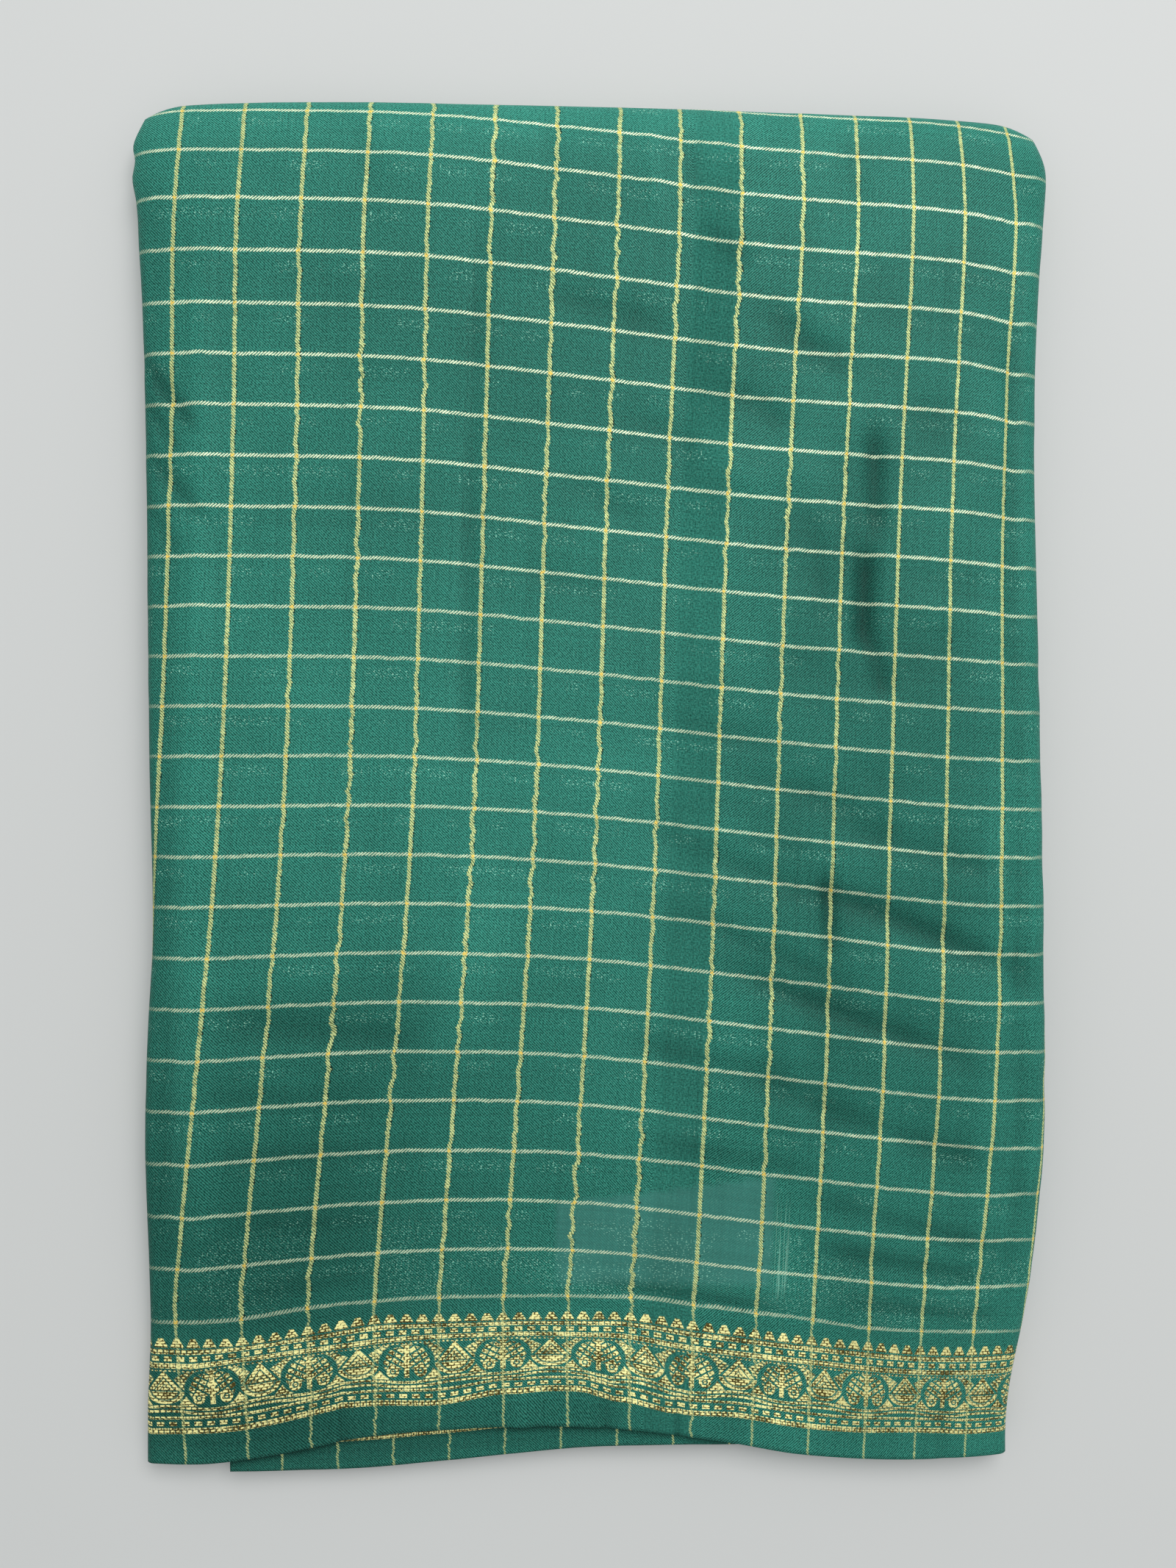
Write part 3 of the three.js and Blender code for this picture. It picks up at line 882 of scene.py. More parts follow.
@dataclass
class SecondCloth:
    """The next layer's selvedge, which peeks out at the near end."""

    form: FoldedForm
    name: str = "second_cloth"
    left: float = -152.0
    right: float = 149.0
    depth: float = 52.0
    columns: int = 200
    rows: int = 44
    droop: float = 1.1
    free: float = 10.0              # how much of it hangs free under the front
    clear: float = 0.5
    wave: float = 0.18
    wave_cell: tuple[float, float] = (14.0, 30.0)
    wave_start: float = 6.0         # the wave starts this far in under the front
    wave_length: float = 8.0
    thickness: float = 0.4
    first_line: float = -129.9
    line_pitch: float = 23.6
    line_inset: float = 0.9
    # painted shade: the strip is darker all over, and a painted shadow lies along the front's edge
    tone: float = 0.93
    shadow: float = 0.4
    shadow_reach: float = 2.6
    flat: tuple[float, float] = (0.301, 0.066)

    def make(self) -> bpy.types.Object:
        """Build the strip, from its selvedge in under the front."""
        x = np.linspace(self.left, self.right, self.columns + 1)[None, :] + np.zeros((self.rows + 1, 1))
        front, edge = FRONT_SELVEDGE.at(x), SECOND_SELVEDGE.at(x)
        y = lerp(edge, front + self.depth, np.linspace(0, 1, self.rows + 1)[:, None])
        hang = self.droop * clamp01((front - y) / self.free) ** 2
        wave = self.wave * value_noise(x, y, self.wave_cell, 21)
        wave = wave * smooth((front + self.wave_start - y) / self.wave_length)
        z = self.form.top(x, y) - CLOTH - self.clear - hang - wave
        points = np.stack([x, y, z], axis=-1).reshape(-1, 3)
        faces = between_rows(np.arange(len(points)).reshape(x.shape))
        weft = 1 + (x - self.first_line) / self.line_pitch
        weave = np.stack([weft, (y - edge - self.line_inset) / BORDER - 1], axis=-1).reshape(-1, 2)
        piece = new_piece(self.name, points, faces, weave[faces])
        # painted shade all over, with a painted shadow just under the front's selvedge
        shade = self.tone - self.shadow * np.exp(-((front - y) / self.shadow_reach) ** 2)
        add_painted_light_slip_turn(piece, points[:, :2], shade.reshape(-1))
        thicken(piece, self.thickness)
        return piece

    def dress(self, piece: bpy.types.Object, silk: bpy.types.Material) -> None:
        """Give the piece its silk and its place in the frame.

        Args:
            piece: the strip that make built.
            silk: the checked silk.
        """
        piece.data.materials.append(silk)
        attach(piece, "root")
        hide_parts("second_stretch")


@dataclass
class Shell:
    """Points and faces that grow as strips are added."""

    points: np.ndarray
    faces: list[np.ndarray]

    def add(self, line: np.ndarray) -> np.ndarray:
        """Add a line of points and return their numbers."""
        self.points = np.concatenate([self.points, line])
        return np.arange(len(self.points) - len(line), len(self.points))


@dataclass
class InnerFolds:
    """All the folds between the front and the back, with the leaves' edges at the near end."""

    form: FoldedForm
    name: str = "inner_folds"
    leaves: int = 18
    leaf_share: float = 0.6         # of a leaf's share of the height; the rest is the groove
    lip: float = 0.25               # how far a leaf's edge is rounded off
    groove: float = 4.0
    stand: float = 2.8
    uneven: float = 1.3             # how much further in some leaves lie than others
    waver: float = 0.5              # how much each leaf's edge wavers
    end_fade: int = 10              # points at each side over which the leaves fade out
    crevice_ridges: int = 3
    crevice_stand: float = 2.3
    inset: float = 4.7              # how far the near end lies in from the selvedge
    inset_start: float = 16.0
    inset_length: float = 14.0
    under: float = 3.3              # how far the top lies under the front
    under_start: float = -262.0
    under_length: float = 30.0
    side_room: float = 23.0         # the room for the second cloth fades out over this, beside it
    far_room: float = 43.0          # and over this, behind it

    def make(self) -> bpy.types.Object:
        """Build the two hidden surfaces, the crevice's folds and the leaves' edges."""
        density = Density(flat_columns=110, roll_steps=6, flat_rows=40, near_rows=12, far_roll_steps=8,
                          skirt_steps=2)
        above = HalfSurface(self.form, Side.UPPER, HIDDEN, density)
        below = HalfSurface(self.form, Side.LOWER, HIDDEN, density)
        above.shape()
        below.shape()
        above.points[..., 2] -= self.lowering(above) * above.round
        for half in (above, below):
            near = FRONT_SELVEDGE.at(half.points[..., 0]) + self.inset_start - half.points[..., 1]
            half.points[..., 1] += self.inset * smooth(near / self.inset_length)
        upper = above.build(None, 0)
        lower = below.build(None, len(upper.points))
        shell = Shell(np.concatenate([upper.points, lower.points]), [upper.faces, lower.faces])
        fold = self.fold_crevice(shell, upper, lower)
        leaves = self.lay_leaves(shell, upper, lower)
        self.close_ends(shell, leaves, fold)
        return new_piece(self.name, shell.points, np.concatenate(shell.faces), None)

    def lowering(self, above: HalfSurface) -> np.ndarray:
        """Work out how much lower the hidden top lies, for the cloth over it.

        Args:
            above: the upper hidden surface, shaped.

        Returns:
            The depth at each of its points, in mm.
        """
        x, y = above.points[..., 0], above.points[..., 1]
        beside = np.minimum(x - SecondCloth.left, SecondCloth.right - x) + self.side_room
        behind = FRONT_SELVEDGE.at(x) + SecondCloth.depth + self.far_room - y
        room = smooth(3 * beside / self.side_room) * smooth(1.7 * behind / self.far_room)
        return (CLOTH + 2 * GAP) * room + self.under * smooth((y - self.under_start) / self.under_length)

    def fold_crevice(self, shell: Shell, upper: BuiltHalf, lower: BuiltHalf) -> list[np.ndarray]:
        """Add the folds in the crevice between the halves.

        Args:
            shell: the points and faces so far.
            upper: the upper hidden surface.
            lower: the lower one.

        Returns:
            The lines of point numbers, from the upper half to the lower one.
        """
        first, last = upper.lines[-1], lower.lines[-1]
        a, b = shell.points[first], shell.points[last]
        out = np.stack([np.sign(a[:, 0]), 0 * a[:, 0], 0 * a[:, 0]], axis=-1)
        lines = [first]
        steps = 4 * self.crevice_ridges
        for k in range(1, steps):
            t = k / steps
            ridge = abs(math.sin(self.crevice_ridges * math.pi * t)) ** 0.7
            uneven = 0.75 + 0.25 * value_noise(a[:, 0], a[:, 1], (60, 26), 30 + k // 4)
            reach = self.crevice_stand * ridge * uneven * (1 - self.form.turn(a[:, 1]))
            lines.append(shell.add(lerp(a, b, t) + out * reach[:, None]))
        lines.append(last)
        shell.faces += [between_lines(above, below) for above, below in zip(lines, lines[1:])]
        return lines

    def near_line(self, half: BuiltHalf) -> np.ndarray:
        """Return a half's near point numbers, from the left crevice to the right one."""
        left = [line[0] for line in reversed(half.lines[1:])]
        right = [line[-1] for line in half.lines[1:]]
        return np.array([*left, *half.grid[0], *right])

    def lay_leaves(self, shell: Shell, upper: BuiltHalf, lower: BuiltHalf) -> list[np.ndarray]:
        """Add the leaves' edges across the near end.

        Args:
            shell: the points and faces so far.
            upper: the upper hidden surface.
            lower: the lower one.

        Returns:
            The lines of point numbers, from the upper half to the lower one.
        """
        top, bottom = self.near_line(upper), self.near_line(lower)
        a, b = shell.points[top], shell.points[bottom]
        from_end = np.arange(len(top))
        fade = smooth(np.minimum(from_end, from_end[::-1]) / self.end_fade)
        half = self.leaf_share / 2
        edge = ((-half, self.lip), (-half / 2, 0.0), (half / 2, 0.0), (half, self.lip))
        profile = ((-0.5, self.groove), *edge)
        lines = [top]
        for leaf in range(self.leaves):
            wave = value_noise(a[:, 0], 17.0 * leaf + 0 * a[:, 0], (34, 9), 60)
            back = self.uneven * abs(math.sin(2.4 * leaf + 0.7)) + self.waver * wave - self.stand
            for where, depth in profile if leaf else edge:
                line = lerp(a, b, (leaf + 0.5 + where) / self.leaves)
                line[:, 1] += fade * (depth if depth == self.groove else depth + back)
                lines.append(shell.add(line))
        lines.append(bottom)
        for one, two in zip(lines, lines[1:]):
            shell.faces.append(np.stack([one[:-1], two[:-1], two[1:], one[1:]], axis=-1))
        return lines

    def close_ends(self, shell: Shell, leaves: list[np.ndarray], fold: list[np.ndarray]) -> None:
        """Close the strips between the leaves' ends and the crevice's folds, at both sides.

        Args:
            shell: the points and faces so far.
            leaves: the lines across the near end.
            fold: the lines along the crevice.
        """
        for end, flip in ((0, False), (-1, True)):
            first = [int(line[end]) for line in leaves]
            second = [int(line[end]) for line in fold]
            a = b = 0
            while a < len(first) - 1 or b < len(second) - 1:
                next_a, next_b = (a + 1) / (len(first) - 1), (b + 1) / (len(second) - 1)
                if b == len(second) - 1 or (a < len(first) - 1 and next_a <= next_b):
                    corner = [first[a], first[a + 1], second[b], second[b]]
                    a += 1
                else:
                    corner = [first[a], second[b + 1], second[b], second[b]]
                    b += 1
                if len(set(corner)) == 3:
                    shell.faces.append(np.array([corner[::-1] if flip else corner]))

    def dress(self, piece: bpy.types.Object, silk: bpy.types.Material) -> None:
        """Give the piece its silk and its place in the frame.

        Args:
            piece: the folds that make built.
            silk: the plain folded silk.
        """
        piece.data.materials.append(silk)
        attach(piece, "root")
        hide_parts("hidden_layers")


# ---- shader drawing ------------------------------------------------------------------
class Wire:
    """A value in a node tree, with arithmetic that draws the nodes."""

    def __init__(self, tree: bpy.types.NodeTree, socket: bpy.types.NodeSocket) -> None:
        """Hold the tree and the socket that the value comes from."""
        self.tree, self.socket = tree, socket

    def math(self, operation: str, *others: "Wire | float") -> "Wire":
        """Draw one math node.

        Args:
            operation: what the node works out.
            others: its other values.

        Returns:
            The result.
        """
        node = self.tree.nodes.new("ShaderNodeMath")
        node.operation = operation
        for slot, value in zip(node.inputs, (self, *others)):
            if isinstance(value, Wire):
                self.tree.links.new(value.socket, slot)
            else:
                slot.default_value = value
        return Wire(self.tree, node.outputs[0])

    def __add__(self, other: "Wire | float") -> "Wire":
        """Add."""
        return self.math("ADD", other)

    def __sub__(self, other: "Wire | float") -> "Wire":
        """Subtract."""
        return self.math("SUBTRACT", other)

    def __mul__(self, other: "Wire | float") -> "Wire":
        """Multiply."""
        return self.math("MULTIPLY", other)

    def __truediv__(self, other: "Wire | float") -> "Wire":
        """Divide."""
        return self.math("DIVIDE", other)

    def abs(self) -> "Wire":
        """Return the size without its sign."""
        return self.math("ABSOLUTE")

    def sine(self) -> "Wire":
        """Return the sine."""
        return self.math("SINE")

    def least(self, other: "Wire | float") -> "Wire":
        """Return the smaller one."""
        return self.math("MINIMUM", other)

    def most(self, other: "Wire | float") -> "Wire":
        """Return the larger one."""
        return self.math("MAXIMUM", other)

    def beat(self, pitch: float, start: float = 0.0) -> "Wire":
        """Return the signed distance from the nearest place start + n x pitch."""
        moved = (self - (start - pitch / 2)) if start != pitch / 2 else self
        return moved.math("FLOORED_MODULO", pitch) - pitch / 2

    def step(self, low: float, high: float) -> "Wire":
        """Draw a soft step.

        Args:
            low: where it is 0.
            high: where it is 1, on either side of low.

        Returns:
            The step.
        """
        node = self.tree.nodes.new("ShaderNodeMapRange")
        node.interpolation_type = "SMOOTHSTEP"
        self.tree.links.new(self.socket, node.inputs["Value"])
        ends = ((low, 0.0), (high, 1.0)) if low < high else ((high, 1.0), (low, 0.0))
        for name, (start, value) in zip(("Min", "Max"), ends):
            node.inputs["From " + name].default_value = start
            node.inputs["To " + name].default_value = value
        return Wire(self.tree, node.outputs["Result"])

    def band(self, centre: float, half: float, soft: float = 0.12) -> "Wire":
        """Return 1 within half of the centre, and 0 outside it."""
        away = (self - centre).abs() if centre else self.abs()
        return away.step(half + soft, half - soft)


class Drawing:
    """Draws one node tree: a group, or a material."""

    def __init__(self, tree: bpy.types.NodeTree) -> None:
        """Hold the tree."""
        self.tree = tree

    def node(self, kind: str, **settings: object) -> bpy.types.Node:
        """Add a node.

        Args:
            kind: the node's type.
            settings: its settings by name.

        Returns:
            The new node.
        """
        node = self.tree.nodes.new(kind)
        for key, value in settings.items():
            setattr(node, key, value)
        return node

    def wire(self, socket: bpy.types.NodeSocket) -> Wire:
        """Return a socket's value."""
        return Wire(self.tree, socket)

    def reach(self, x: Wire, y: Wire) -> Wire:
        """Return the distance of x, y from zero."""
        return (x * x + y * y).math("SQRT")

    def noise(self, x: Wire, y: Wire, detail: float = 2.0) -> Wire:
        """Draw soft noise around 0.5.

        Args:
            x: the place across, in the noise's own cells.
            y: the place along.
            detail: how many finer layers it has.

        Returns:
            The noise at x, y.
        """
        place = self.node("ShaderNodeCombineXYZ")
        self.tree.links.new(x.socket, place.inputs[0])
        self.tree.links.new(y.socket, place.inputs[1])
        node = self.node("ShaderNodeTexNoise", noise_dimensions="2D")
        self.tree.links.new(place.outputs[0], node.inputs["Vector"])
        node.inputs["Scale"].default_value = 1.0
        node.inputs["Detail"].default_value = detail
        return self.wire(node.outputs["Fac"])

    def mix(self, share: Wire, first: "bpy.types.NodeSocket | Colour",
            second: "bpy.types.NodeSocket | Colour") -> bpy.types.NodeSocket:
        """Mix two colours.

        Args:
            share: how much there is of the second one.
            first: a socket or a colour.
            second: a socket or a colour.

        Returns:
            The mixed colour's socket.
        """
        node = self.node("ShaderNodeMix", data_type="RGBA")
        self.tree.links.new(share.socket, node.inputs["Factor"])
        for slot, value in ((node.inputs[6], first), (node.inputs[7], second)):
            if isinstance(value, bpy.types.NodeSocket):
                self.tree.links.new(value, slot)
            else:
                slot.default_value = (*value, 1.0)
        return node.outputs[2]

    def scale(self, colour: bpy.types.NodeSocket, by: Wire) -> bpy.types.NodeSocket:
        """Make a colour darker or paler.

        Args:
            colour: the colour's socket.
            by: what it is multiplied by.

        Returns:
            The scaled colour's socket.
        """
        node = self.node("ShaderNodeVectorMath", operation="SCALE")
        self.tree.links.new(colour, node.inputs[0])
        self.tree.links.new(by.socket, node.inputs["Scale"])
        return node.outputs[0]

    def group(self, group: bpy.types.NodeTree, **inputs: Wire) -> dict[str, Wire]:
        """Place a group.

        Args:
            group: the group's tree.
            inputs: a value for each input.

        Returns:
            Its outputs by name.
        """
        node = self.node("ShaderNodeGroup")
        node.node_tree = group
        for key, value in inputs.items():
            self.tree.links.new(value.socket, node.inputs[key])
        return {out.name: self.wire(out) for out in node.outputs}


class GroupDrawing(Drawing):
    """Draws a node group with named inputs and outputs."""

    def __init__(self, name: str, inputs: tuple[str, ...], outputs: tuple[str, ...]) -> None:
        """Open a group whose sockets are all plain values.

        Args:
            name: the group's name.
            inputs: its inputs' names.
            outputs: its outputs' names.
        """
        super().__init__(bpy.data.node_groups.new(name, "ShaderNodeTree"))
        for way, names in (("INPUT", inputs), ("OUTPUT", outputs)):
            for key in names:
                self.tree.interface.new_socket(name=key, in_out=way, socket_type="NodeSocketFloat")
        self.source = self.node("NodeGroupInput")
        self.target = self.node("NodeGroupOutput")

    def given(self, *names: str) -> list[Wire]:
        """Return the inputs' values."""
        return [self.wire(self.source.outputs[name]) for name in names]

    def put(self, name: str, value: Wire) -> None:
        """Set an output."""
        self.tree.links.new(value.socket, self.target.inputs[name])


class MaterialDrawing(Drawing):
    """Draws a material round one shader."""

    def __init__(self, name: str) -> None:
        """Open a new material without nodes."""
        self.material = bpy.data.materials.new(name)
        self.material.use_nodes = True
        super().__init__(self.material.node_tree)
        self.tree.nodes.clear()

    def parts(self, vector: bpy.types.NodeSocket) -> list[Wire]:
        """Return a vector's three values."""
        node = self.node("ShaderNodeSeparateXYZ")
        self.tree.links.new(vector, node.inputs[0])
        return [self.wire(out) for out in node.outputs]

    def close(self, colour: bpy.types.NodeSocket, specular: float, values: dict[str, Wire],
              relief: "Relief", height: Wire) -> bpy.types.Material:
        """Draw the shader and its relief.

        Args:
            colour: the base colour's socket.
            specular: the shine, the same all over.
            values: what goes into the shader's other inputs.
            relief: how strong and deep the relief is.
            height: the relief's height, from 0 to 1.

        Returns:
            The finished material.
        """
        bump = self.node("ShaderNodeBump")
        bump.inputs["Strength"].default_value = relief.strength
        bump.inputs["Distance"].default_value = relief.depth * MM
        self.tree.links.new(height.socket, bump.inputs["Height"])
        shader = self.node("ShaderNodeBsdfPrincipled")
        shader.inputs["Specular IOR Level"].default_value = specular
        self.tree.links.new(colour, shader.inputs["Base Color"])
        for key, value in values.items():
            self.tree.links.new(value.socket, shader.inputs[key])
        self.tree.links.new(bump.outputs[0], shader.inputs["Normal"])
        out = self.node("ShaderNodeOutputMaterial")
        self.tree.links.new(shader.outputs[0], out.inputs["Surface"])
        return self.material


@dataclass(frozen=True)
class Relief:
    """How strong a finish's relief is, and how deep in mm."""

    strength: float
    depth: float


@dataclass(frozen=True)
class BorderRows:
    """Heights of the border's woven rows above the selvedge, in mm."""

    last: float = LAST_LINE - 0.1
    low_dots: float = 15.2
    thin: float = 17.6
    low_vine: float = 19.7
    high_vine: float = 21.5
    bush_foot: float = 23.6
    curls: float = 25.4
    bowl: float = 28.6
    ovals: float = 29.2
    spots: float = 36.75
    inner_dashes: float = INNER_DASHES + 0.7
    high_dots: float = 41.45
    outer_dashes: float = 44.2
    temple_foot: float = 45.9
    top: float = 52.0


class WeaveGroups:
    """The effects that the saree's finishes share, with their lengths in mm."""

    def __init__(self) -> None:
        """Draw every group once."""
        self.twill = self.draw_twill()
        self.checks = self.draw_checks()
        self.border = self.draw_border()
        self.thread = self.draw_thread()
        self.handling = self.draw_handling()

    def draw_twill(self) -> bpy.types.NodeTree:
        """Draw fine slanting ribs: their tone and height."""
        rib_pitch, pick_pitch = 1.15, 0.47
        d = GroupDrawing("silk_twill", ("across", "along"), ("tone", "height"))
        across, along = d.given("across", "along")
        other_way = across.step(205.0, 225.0)
        rib = ((across * (other_way * -2.0 + 1.0) + along) * (TAU / rib_pitch)).sine()
        pick = ((along - across * 0.35) * (TAU / pick_pitch)).sine()
        fleck = d.noise(across * 1.3, along * 1.3, 2.0) - 0.5
        d.put("tone", rib * 0.5 + pick * 0.1 + fleck * 1.7 + 0.5)
        d.put("height", rib * 0.5 + pick * 0.2 + 0.5)
        return d.tree

    def draw_checks(self) -> bpy.types.NodeTree:
        """Draw the zari lines of the checks, each as a mask, and where they cross."""
        rope_pitch, chain_pitch = 1.25, 1.3
        d = GroupDrawing("zari_checks", ("across", "along"),
                         ("weft line", "warp line", "crossing", "rope", "chain", "gap"))
        across, along = d.given("across", "along")

        # the weft lines wander, most of all in the middle of the cloth
        middle = (across - 160.0).abs().step(150.0, 70.0)
        loose = d.noise(across * 0.012 + 3.0, along * 0.012, 1.0).step(0.3, 0.62) * middle
        sway = (d.noise(across * 0.04, along * 0.12, 1.0) - 0.5) * (loose * 2.6 + 0.5)
        jog = (d.noise(across * 0.2, along * 0.5 + 7.0, 1.0) - 0.5) * (loose * 1.0 + 0.35)
        dip = (d.noise(across * 0.13, along * 0.04 + 40.0, 2.0) - 0.5) * 0.8
        beside = across.beat(WEFT_PITCH) + sway + jog
        below = along.beat(WARP_PITCH) + dip

        # their thread is laid like a rope, and the warp lines' like a chain
        swell = d.noise(across * 0.3, along * 1.1 + 9.0, 2.0)
        rope = ((along + beside * 1.1) * (TAU / rope_pitch)).sine()
        chain = ((across - below * 1.0) * (TAU / chain_pitch)).sine()
        uneven = (swell - 0.5) * 0.6
        body = along.step(-3.0, -1.5)
        narrow = body * -0.3 + 0.3
        weft_line = (beside.abs() + narrow - uneven - rope * 0.18).step(0.89, 0.55) * (body * 0.25 + 0.75)
        warp_line = (below.abs() - uneven - chain * 0.34).step(0.71, 0.33) * body
        pulled = d.noise(across * 0.2, along * 0.9, 2.0).step(0.52, 0.6)
        d.put("weft line", weft_line)
        d.put("warp line", warp_line)
        d.put("crossing", weft_line * warp_line)
        d.put("rope", rope * 0.56 + swell * 1.8 - 0.4)
        d.put("chain", chain * 0.72 + swell * 1.6 - 0.3)
        d.put("gap", beside.band(1.0, 0.3, 0.14) * pulled * body)
        return d.tree

    def draw_border(self) -> bpy.types.NodeTree:
        """Draw the woven border, row by row above the selvedge."""
        repeat, rows = 1.5 * WEFT_PITCH, BorderRows()
        d = GroupDrawing("woven_border", ("weft", "edge"), ("zari",))
        weft, edge = d.given("weft", "edge")
        run = weft * WEFT_PITCH

        # temples: small stepped trees
        temple = run.beat(WEFT_PITCH / 4).abs()
        courses = (edge - rows.temple_foot) / 1.25
        narrowing = courses.math("FLOOR") * 0.66
        tier = courses.math("FRACT") * 0.5
        stepped = (temple + narrowing + tier).step(2.85, 2.55)
        temples = stepped * edge.band(rows.temple_foot + 1.85, 1.85, 0.06)

        # two heavy dashed lines with square dots between them, and the same at the near side
        dash = run.beat(WEFT_PITCH / 11).abs().step(1.06, 0.86) * 0.85 + 0.15
        dashed = edge.band(rows.outer_dashes, 1.0, 0.1).most(edge.band(rows.inner_dashes, 1.05, 0.1)) * dash
        dot = run.beat(WEFT_PITCH / 5, 1.0).abs().step(1.6, 1.42)
        dots = edge.band(rows.high_dots, 0.98, 0.1).most(edge.band(rows.low_dots, 0.8, 0.1)) * dot
        last = edge.band(rows.last, 1.1, 0.1) * dash

        # the bush: branches that rise from a column, with a curl at each side, inside a dark oval
        bush = run.beat(repeat).abs()
        oval = d.reach(bush / 10.9, (edge - rows.ovals) / 8.5)
        above = edge - rows.bush_foot
        reach = d.reach(bush, above)
        lobes = (bush.math("ARCTAN2", above) * 9.0).math("COSINE") * 0.75
        branch = ((above - bush * 0.62) * (TAU / 2.75)).sine().step(-0.75, -0.35)
        split = ((bush + above * 0.5) * (TAU / 3.3)).sine().step(-0.95, -0.7)
        fan = branch * split * oval.step(0.86, 0.8) * (reach - lobes).step(13.2, 12.8) * above.step(2.4, 2.9)
        column = bush.step(1.15, 0.85) * edge.band(rows.ovals + 0.1, 6.6)
        curl_reach = d.reach(bush - 5.4, edge - rows.curls)
        curl = curl_reach.band(1.85, 0.6, 0.1).most(curl_reach.step(0.8, 0.6))

        # the flower: a broad filled bud over a ribbed bowl, with a petal leaning out at each side
        flower = run.beat(repeat, repeat / 2).abs()
        slope = edge + flower * 1.22
        outside = oval.step(0.98, 1.05)
        bud = slope.step(36.9, 36.5) * edge.step(28.6, 28.9) * (slope.band(33.9, 0.36, 0.14) * -0.95 + 1.0)
        bud = bud * (slope.band(31.2, 0.3, 0.14) * -0.85 + 1.0)
        bowl_reach = d.reach(flower / 8.0, (edge - rows.bowl) / 5.4)
        rib = bowl_reach.band(0.7, 0.06, 0.03) * -0.9 + 1.0
        bowl = bowl_reach.step(1.0, 0.95) * edge.step(28.4, 28.1) * rib
        veins = ((edge + flower * 0.9) * (TAU / 2.4)).sine().step(-0.9, -0.5) * 0.8 + 0.2
        leaning = (edge - flower * 0.55).step(31.6, 31.2)
        petal = slope.step(38.0, 38.5) * edge.band(32.0, 4.4) * leaning * outside * veins
        spots = run.beat(WEFT_PITCH / 14).abs().step(0.55, 0.4) * edge.band(rows.spots, 0.32, 0.1)

        # fillers, the garland and the thin lines
        garland = edge - (flower * (TAU / repeat)).math("COSINE") * 0.8
        filler = run.beat(repeat / 2, repeat / 4).abs()
        fillers = (filler * 1.1 + edge).step(27.6, 27.3) * garland.step(22.3, 22.5) * outside
        link = run.beat(WEFT_PITCH / 10).abs().step(1.16, 0.94) * 0.8 + 0.2
        vine = garland.band(rows.high_vine, 0.55, 0.1).most(garland.band(rows.low_vine, 0.55, 0.1)) * link
        thin = edge.band(rows.thin, 0.55, 0.1) * link

        zari = temples
        for row in (dashed, dots, last, fan, column, curl, bud, bowl, petal, spots, fillers, vine, thin):
            zari = zari.most(row)
        d.put("zari", zari * edge.step(rows.top + 3.0, rows.top))
        return d.tree

    def draw_thread(self) -> bpy.types.NodeTree:
        """Draw the border's floats of metal thread, laid like bricks: their tone, with painted glints, and
        their height.
        """
        row_pitch, float_length = 1.15, 2.3
        d = GroupDrawing("zari_thread", ("across", "along"), ("tone", "height"))
        across, along = d.given("across", "along")
        row = along / row_pitch
        brick = (across / float_length + row.math("FLOOR") * 0.5).math("FRACT")
        seam = brick.band(0.5, 0.38, 0.09) * row.math("FRACT").band(0.5, 0.34, 0.12)
        # painted glints: the floats are brighter or duller in small specks and larger patches
        glint_specks = d.noise(across * 0.9, along * 1.5, 2.0) - 0.5
        glint_patches = d.noise(across * 0.12, along * 0.2, 2.0) - 0.5
        d.put("tone", seam + glint_specks * 2.8 + glint_patches * 2.4 - 0.05)
        d.put("height", seam)
        return d.tree

    def draw_handling(self) -> bpy.types.NodeTree:
        """Draw the slow change of tone over the cloth, its streaks and the loose floats."""
        d = GroupDrawing("handling", ("across", "along", "warp"), ("tone", "float"))
        across, along, warp = d.given("across", "along", "warp")
        cloud = d.noise(across * 0.02, along * 0.02, 3.0) - 0.5
        streak = d.noise(across * 0.75, along * 0.008, 2.0) - 0.5
        bar = d.noise(across * 0.01, along * 0.6 + 5.0, 2.0) - 0.5
        d.put("tone", cloud * 0.34 + streak * 0.26 + bar * 0.26 + 1.0)

        # pale specks, most of them in rows under the warp lines and in patches above the border
        speck = d.noise(across * 1.1, along * 2.2 + 3.0, 0.0).step(0.72, 0.8)
        row = warp.beat(1.0, 0.7).abs().step(0.16, 0.05)
        field = d.noise(across * 0.05, along * 0.03 + 20.0, 1.0).step(0.45, 0.62)
        patch = d.noise(across * 0.03 + 9.0, along * 0.05, 1.0).step(0.42, 0.6)
        loose = (along - 17.0).abs().step(22.0, 12.0) * patch
        specks = speck * (row * field).most(loose * 0.8).most(0.1)

        # a few pulled threads beside the paper slip
        pulled = d.noise(across * 1.3, along * 0.02, 1.0).step(0.5, 0.72) * across.band(259.0, 3.2, 1.0)
        d.put("float", specks.most(pulled * along.band(30.0, 20.0, 8.0) * 0.4))
        return d.tree


